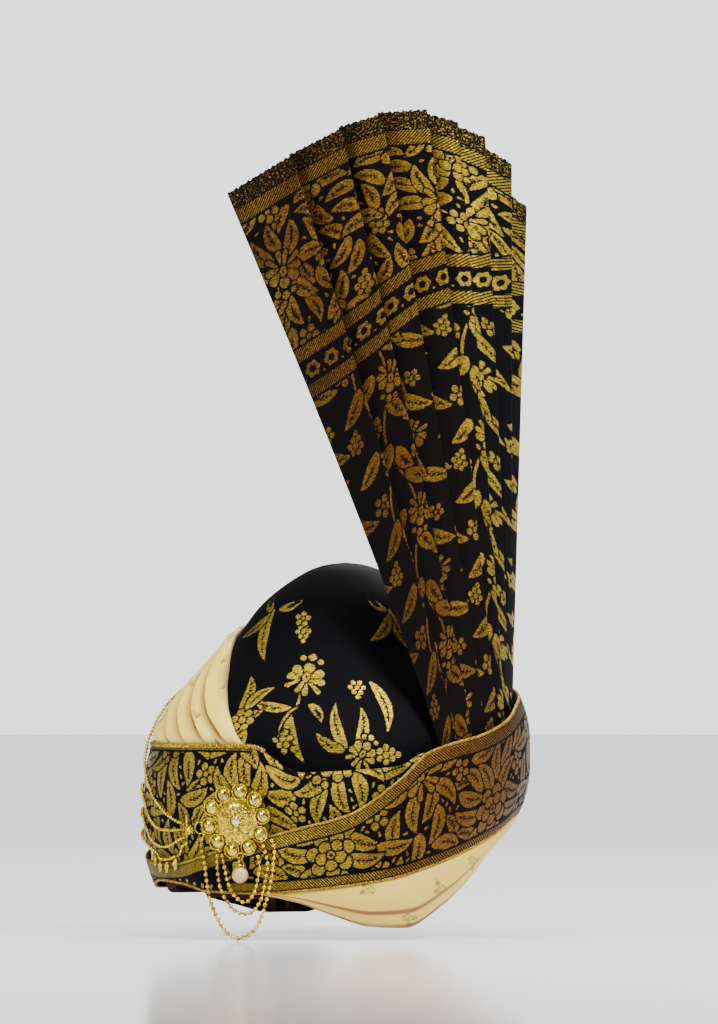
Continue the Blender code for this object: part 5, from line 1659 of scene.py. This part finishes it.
def build_leaf(place, turn, metal):
    """Cupped leaf drop with a raised midrib."""
    steps, across = 14, 9
    length, width = 0.0069, 0.0046
    vertices = []
    for side in (0, 1):
        for step in range(steps + 1):
            share = step / steps
            half = width / 2 * math.sin(math.pi * (0.06 + 0.94 * share) ** 0.9) ** 0.8
            for column in range(across):
                place_across = 2 * column / (across - 1) - 1
                cup = 0.0004 * place_across ** 2 - 0.00035 * math.exp(-(place_across / 0.22) ** 2)
                vertices.append((half * place_across, length * (0.5 - share), -cup - 0.0003 * side + 0.0001))
    faces = []
    layer = (steps + 1) * across
    for step in range(steps):
        for column in range(across - 1):
            a, b = step * across + column, (step + 1) * across + column
            faces.append((a, b, b + 1, a + 1))
            faces.append((layer + a, layer + a + 1, layer + b + 1, layer + b))
        for column in (0, across - 1):
            a, b = step * across + column, (step + 1) * across + column
            faces.append((a, layer + a, layer + b, b) if column == 0 else (a, b, layer + b, layer + a))
    frame_at = node_frame(f"leaf_drop_{place}", turn)
    made = mesh_object(f"cupped_leaf_{place}", [frame_at @ Vector(point) for point in vertices], faces, 50)
    finish_piece(made, metal, "gold_metal", f"leaf_drop_{place}")


# Studio

def stand_off(made, azimuth, rise, distance, target):
    """Stand a lamp or camera off a target and turn it there."""
    a, e = math.radians(azimuth), math.radians(rise)
    away = Vector((math.sin(a) * math.cos(e), -math.cos(a) * math.cos(e), math.sin(e)))
    made.location = target + away * distance
    made.rotation_mode = "QUATERNION"
    made.rotation_quaternion = (-away).to_track_quat("-Z", "Y")


def build_stage():
    """Pale table, soft lights and the camera."""
    edge = TABLE_RADIUS
    vertices, faces = lathe_parts(((0.01, -0.04), (edge, -0.04), (edge + 0.002, -0.004), (edge - 0.004, 0.0),
                                   (0.01, 0.0)), 160)
    table = mesh_object("table", vertices, faces, 30)
    table.location.z = CAD_BOX[0].z - TABLE_DROP
    table.data.materials.append(plain_paint("White laminate board", "#f6f6fa", 0.12))
    world = bpy.data.worlds.new("Pale studio")
    world.use_nodes = True
    tree = world.node_tree
    backdrop = tree.nodes["Background"]
    toward = add_node(tree, "ShaderNodeTexCoord").outputs[0]
    away = math_of(tree, "ABSOLUTE", add_node(tree, "ShaderNodeSeparateXYZ", None, Vector=toward).outputs[2])
    # bright only near the horizon, so that the black cloth stays black
    tree.links.new(ramp_value(tree, away, 0.035, 0.12, 2.60, 0.26, smooth=True), backdrop.inputs["Strength"])
    backdrop.inputs["Color"].default_value = linear("#e4e4e8")
    bpy.context.scene.world = world
    # azimuth and rise in degrees, distance and size in metres, power in watts
    for name, azimuth, rise, distance, size, power in (
            ("key", 122, 38, 1.5, 0.45, 34), ("fill", 18, 20, 1.4, 0.35, 11), ("top", 70, 78, 1.5, 0.5, 12),
            ("back", 235, 35, 1.6, 0.8, 18)):
        light = bpy.data.lights.new(name, "AREA")
        light.size = size
        light.energy = power
        stand_off(place_object(name, light), azimuth, rise, distance, Vector((0, 0, 0.2)))
    daylight = bpy.data.lights.new("daylight", "SUN")
    daylight.energy = 1.3
    daylight.angle = math.radians(40)
    place_object("daylight", daylight).rotation_euler = (math.radians(12), math.radians(14), 0)
    lens = bpy.data.cameras.new("studio_camera")
    lens.lens = CAMERA_LENS
    lens.sensor_width = 36.0
    camera = place_object("studio_camera", lens)
    turn = math.radians(CAMERA_AZIMUTH)
    aim = Vector((math.cos(turn) * AIM_RIGHT, math.sin(turn) * AIM_RIGHT, AIM_LEVEL))
    stand_off(camera, CAMERA_AZIMUTH, CAMERA_RISE, CAMERA_DISTANCE, aim)
    bpy.context.scene.camera = camera


# Add-on

def length_setting(name, description, default):
    """Length that a maker would change."""
    return bpy.props.FloatProperty(name=name, description=description, default=default, min=0.0001,
                                   precision=5, unit="LENGTH")


def colour_setting(name, description, default):
    """Colour that a maker would change, as an sRGB hex value."""
    return bpy.props.StringProperty(name=name, description=description, default=default)


class PagriSizes(bpy.types.PropertyGroup):
    """Sizes of the trimmings, which don't follow from the frame."""

    swag_bead: length_setting("Swag bead radius", "Round beads of the three swags", 0.0014)
    swag_pitch: length_setting("Swag bead pitch", "Distance from bead to bead", 0.0037)
    ball: length_setting("Ball radius", "Balls of the four front chains", STRAND_RADIUS)
    ball_pitch: length_setting("Ball pitch", "Distance from ball to ball", 0.0026)
    edge_cord: length_setting("Edge cord radius", "Twisted cords on both edges of the outer wrap", 0.0010)
    top_cord: length_setting("Top cord radius", "Twisted cord on the inner wrap's top edge", 0.0016)
    petal_stone: length_setting("Petal stone radius", "Ten stones round the brooch", STONE_RADIUS * 0.98)
    petal_stone_height: length_setting("Petal stone height", "Ten stones round the brooch", 0.0021)


class PagriColours(bpy.types.PropertyGroup):
    """Colours of the cloths."""

    ground: colour_setting("Brocade ground", "Satin ground of the brocade", "#030305")
    brown: colour_setting("Browned ground", "Satin ground where it has browned", "#0a0403")
    gilt: colour_setting("Bright gilt", "Gilt thread where it is fresh", "#ecca3c")
    # worn gilt is also the painted shade of the gilt on the fan's left
    worn_and_shaded_gilt: colour_setting("Worn gilt", "Gilt thread where it has browned", "#5a4a20")
    silk: colour_setting("Cream silk", "Silk in the light", "#ffe258")
    # the silk's colour in folds is painted shade
    silk_fold_shade: colour_setting("Silk in folds", "Silk deep in a pleat", "#8a5410")
    lining: colour_setting("Lining", "Padded headband", "#3c0410")


def sizes():
    """The scene's pagri sizes."""
    return bpy.context.scene.pagri_sizes


def colours():
    """The scene's pagri colours."""
    return bpy.context.scene.pagri_colours


def shared(name, maker, *values):
    """A material made once and used by several pieces."""
    return bpy.data.materials.get(name) or maker(name, *values)


def black_brocade():
    """Black and gold brocade."""
    held = colours()
    return shared("Zari brocade, black silk satin", brocade, held.ground, held.brown, held.gilt,
                  held.worn_and_shaded_gilt)


def gilt_cord():
    """Twisted gilt cord."""
    return shared("Zari cord, twisted gilt thread", gilt_thread, "#d8b040", "#2c1e08")


def cream_cloth():
    """Cream silk satin."""
    return shared("Cream silk satin, gilt sprig", cream_silk, colours().silk, colours().silk_fold_shade, "#6c5206")


def plated_brass():
    """Gold-plated brass."""
    return shared("Gold-plated brass, polished", gold_metal, "#f8dc3c", "#86600c", 0.17)


class PAGRI_OT_cap(bpy.types.Operator):
    """Build the brocade cap"""

    bl_idname = "pagri.cap"
    bl_label = "Brocade cap"

    def execute(self, context):
        build_cap(black_brocade())
        return {"FINISHED"}


class PAGRI_OT_cream_front(bpy.types.Operator):
    """Build the pleated cream silk over the front"""

    bl_idname = "pagri.cream_front"
    bl_label = "Cream front"

    def execute(self, context):
        build_cream_front(cream_cloth())
        return {"FINISHED"}


class PAGRI_OT_wraps(bpy.types.Operator):
    """Build the two brocade wraps and their twisted edges"""

    bl_idname = "pagri.wraps"
    bl_label = "Brocade wraps"

    def execute(self, context):
        build_upper_wrap(black_brocade(), gilt_cord())
        build_lower_wrap(black_brocade(), gilt_cord())
        return {"FINISHED"}


class PAGRI_OT_dips(bpy.types.Operator):
    """Build the folds that hang below the rim"""

    bl_idname = "pagri.dips"
    bl_label = "Ear folds"

    def execute(self, context):
        build_dip("cream_ear_fold", NEAR_DIP, cream_cloth(), "cream_silk", "cream_side_wrap",
                  ((0.50, 0.0011), (0.82, 0.0007)))
        build_dip("brocade_ear_fold", FAR_DIP, black_brocade(), "brocade", "far_side_wrap", ((0.55, 0.0010),))
        return {"FINISHED"}


class PAGRI_OT_lining(bpy.types.Operator):
    """Build the padded headband"""

    bl_idname = "pagri.lining"
    bl_label = "Headband"

    def execute(self, context):
        build_lining(shared("Maroon cotton, padded", lining_cloth, colours().lining, "#1c0206"))
        return {"FINISHED"}


class PAGRI_OT_fan(bpy.types.Operator):
    """Build the tall pleated fan"""

    bl_idname = "pagri.fan"
    bl_label = "Turra fan"

    def execute(self, context):
        build_fan(black_brocade())
        return {"FINISHED"}


class PAGRI_OT_brooch(bpy.types.Operator):
    """Build the flower brooch, its stones and the pearl drop"""

    bl_idname = "pagri.brooch"
    bl_label = "Brooch and pearl"

    def execute(self, context):
        metal = plated_brass()
        build_brooch(metal)
        build_stones(shared("Cut glass, gilt foil", foiled_glass, "#f0dc34", "#7a5408"),
                     shared("Cut glass, silver foil", foiled_glass, "#fffbe8", "#f0d878"))
        build_pearl(shared("Glass pearl, lacquered", pearl_coating, "#dcb870", "#8c6434"), metal)
        return {"FINISHED"}


class PAGRI_OT_chains(bpy.types.Operator):
    """Build the swags, the fine front chains and their fittings"""

    bl_idname = "pagri.chains"
    bl_label = "Chains"

    def execute(self, context):
        metal = plated_brass()
        build_swags(metal)
        build_front_chains(metal)
        build_small_metal(metal)
        return {"FINISHED"}


class PAGRI_OT_stage(bpy.types.Operator):
    """Build the table, lights and camera"""

    bl_idname = "pagri.stage"
    bl_label = "Stage"

    def execute(self, context):
        build_stage()
        return {"FINISHED"}


STEPS = (PAGRI_OT_stage, PAGRI_OT_cap, PAGRI_OT_cream_front, PAGRI_OT_wraps, PAGRI_OT_dips, PAGRI_OT_lining,
         PAGRI_OT_fan, PAGRI_OT_brooch, PAGRI_OT_chains)


class PAGRI_PT_pieces(bpy.types.Panel):
    """Pieces of the pagri in the order they are made"""

    bl_idname = "PAGRI_PT_pieces"
    bl_label = "Tied turban pagri"
    bl_space_type = "VIEW_3D"
    bl_region_type = "UI"
    bl_category = "Pagri"

    def draw(self, context):
        for step in STEPS:
            self.layout.operator(step.bl_idname)
        for group, held in ((PagriSizes, sizes()), (PagriColours, colours())):
            for key in group.__annotations__:
                self.layout.prop(held, key)


CLASSES = (PagriSizes, PagriColours, *STEPS, PAGRI_PT_pieces)


def register():
    """Register the add-on's classes and settings."""
    for made in CLASSES:
        bpy.utils.register_class(made)
    bpy.types.Scene.pagri_sizes = bpy.props.PointerProperty(type=PagriSizes)
    bpy.types.Scene.pagri_colours = bpy.props.PointerProperty(type=PagriColours)


def unregister():
    """Take the add-on's classes and settings away."""
    del bpy.types.Scene.pagri_colours
    del bpy.types.Scene.pagri_sizes
    for made in reversed(CLASSES):
        bpy.utils.unregister_class(made)


def main():
    """Build every piece."""
    register()
    for name in ("stage", "cap", "cream_front", "wraps", "dips", "lining", "fan", "brooch", "chains"):
        getattr(bpy.ops.pagri, name)()


if __name__ == "__main__":
    main()
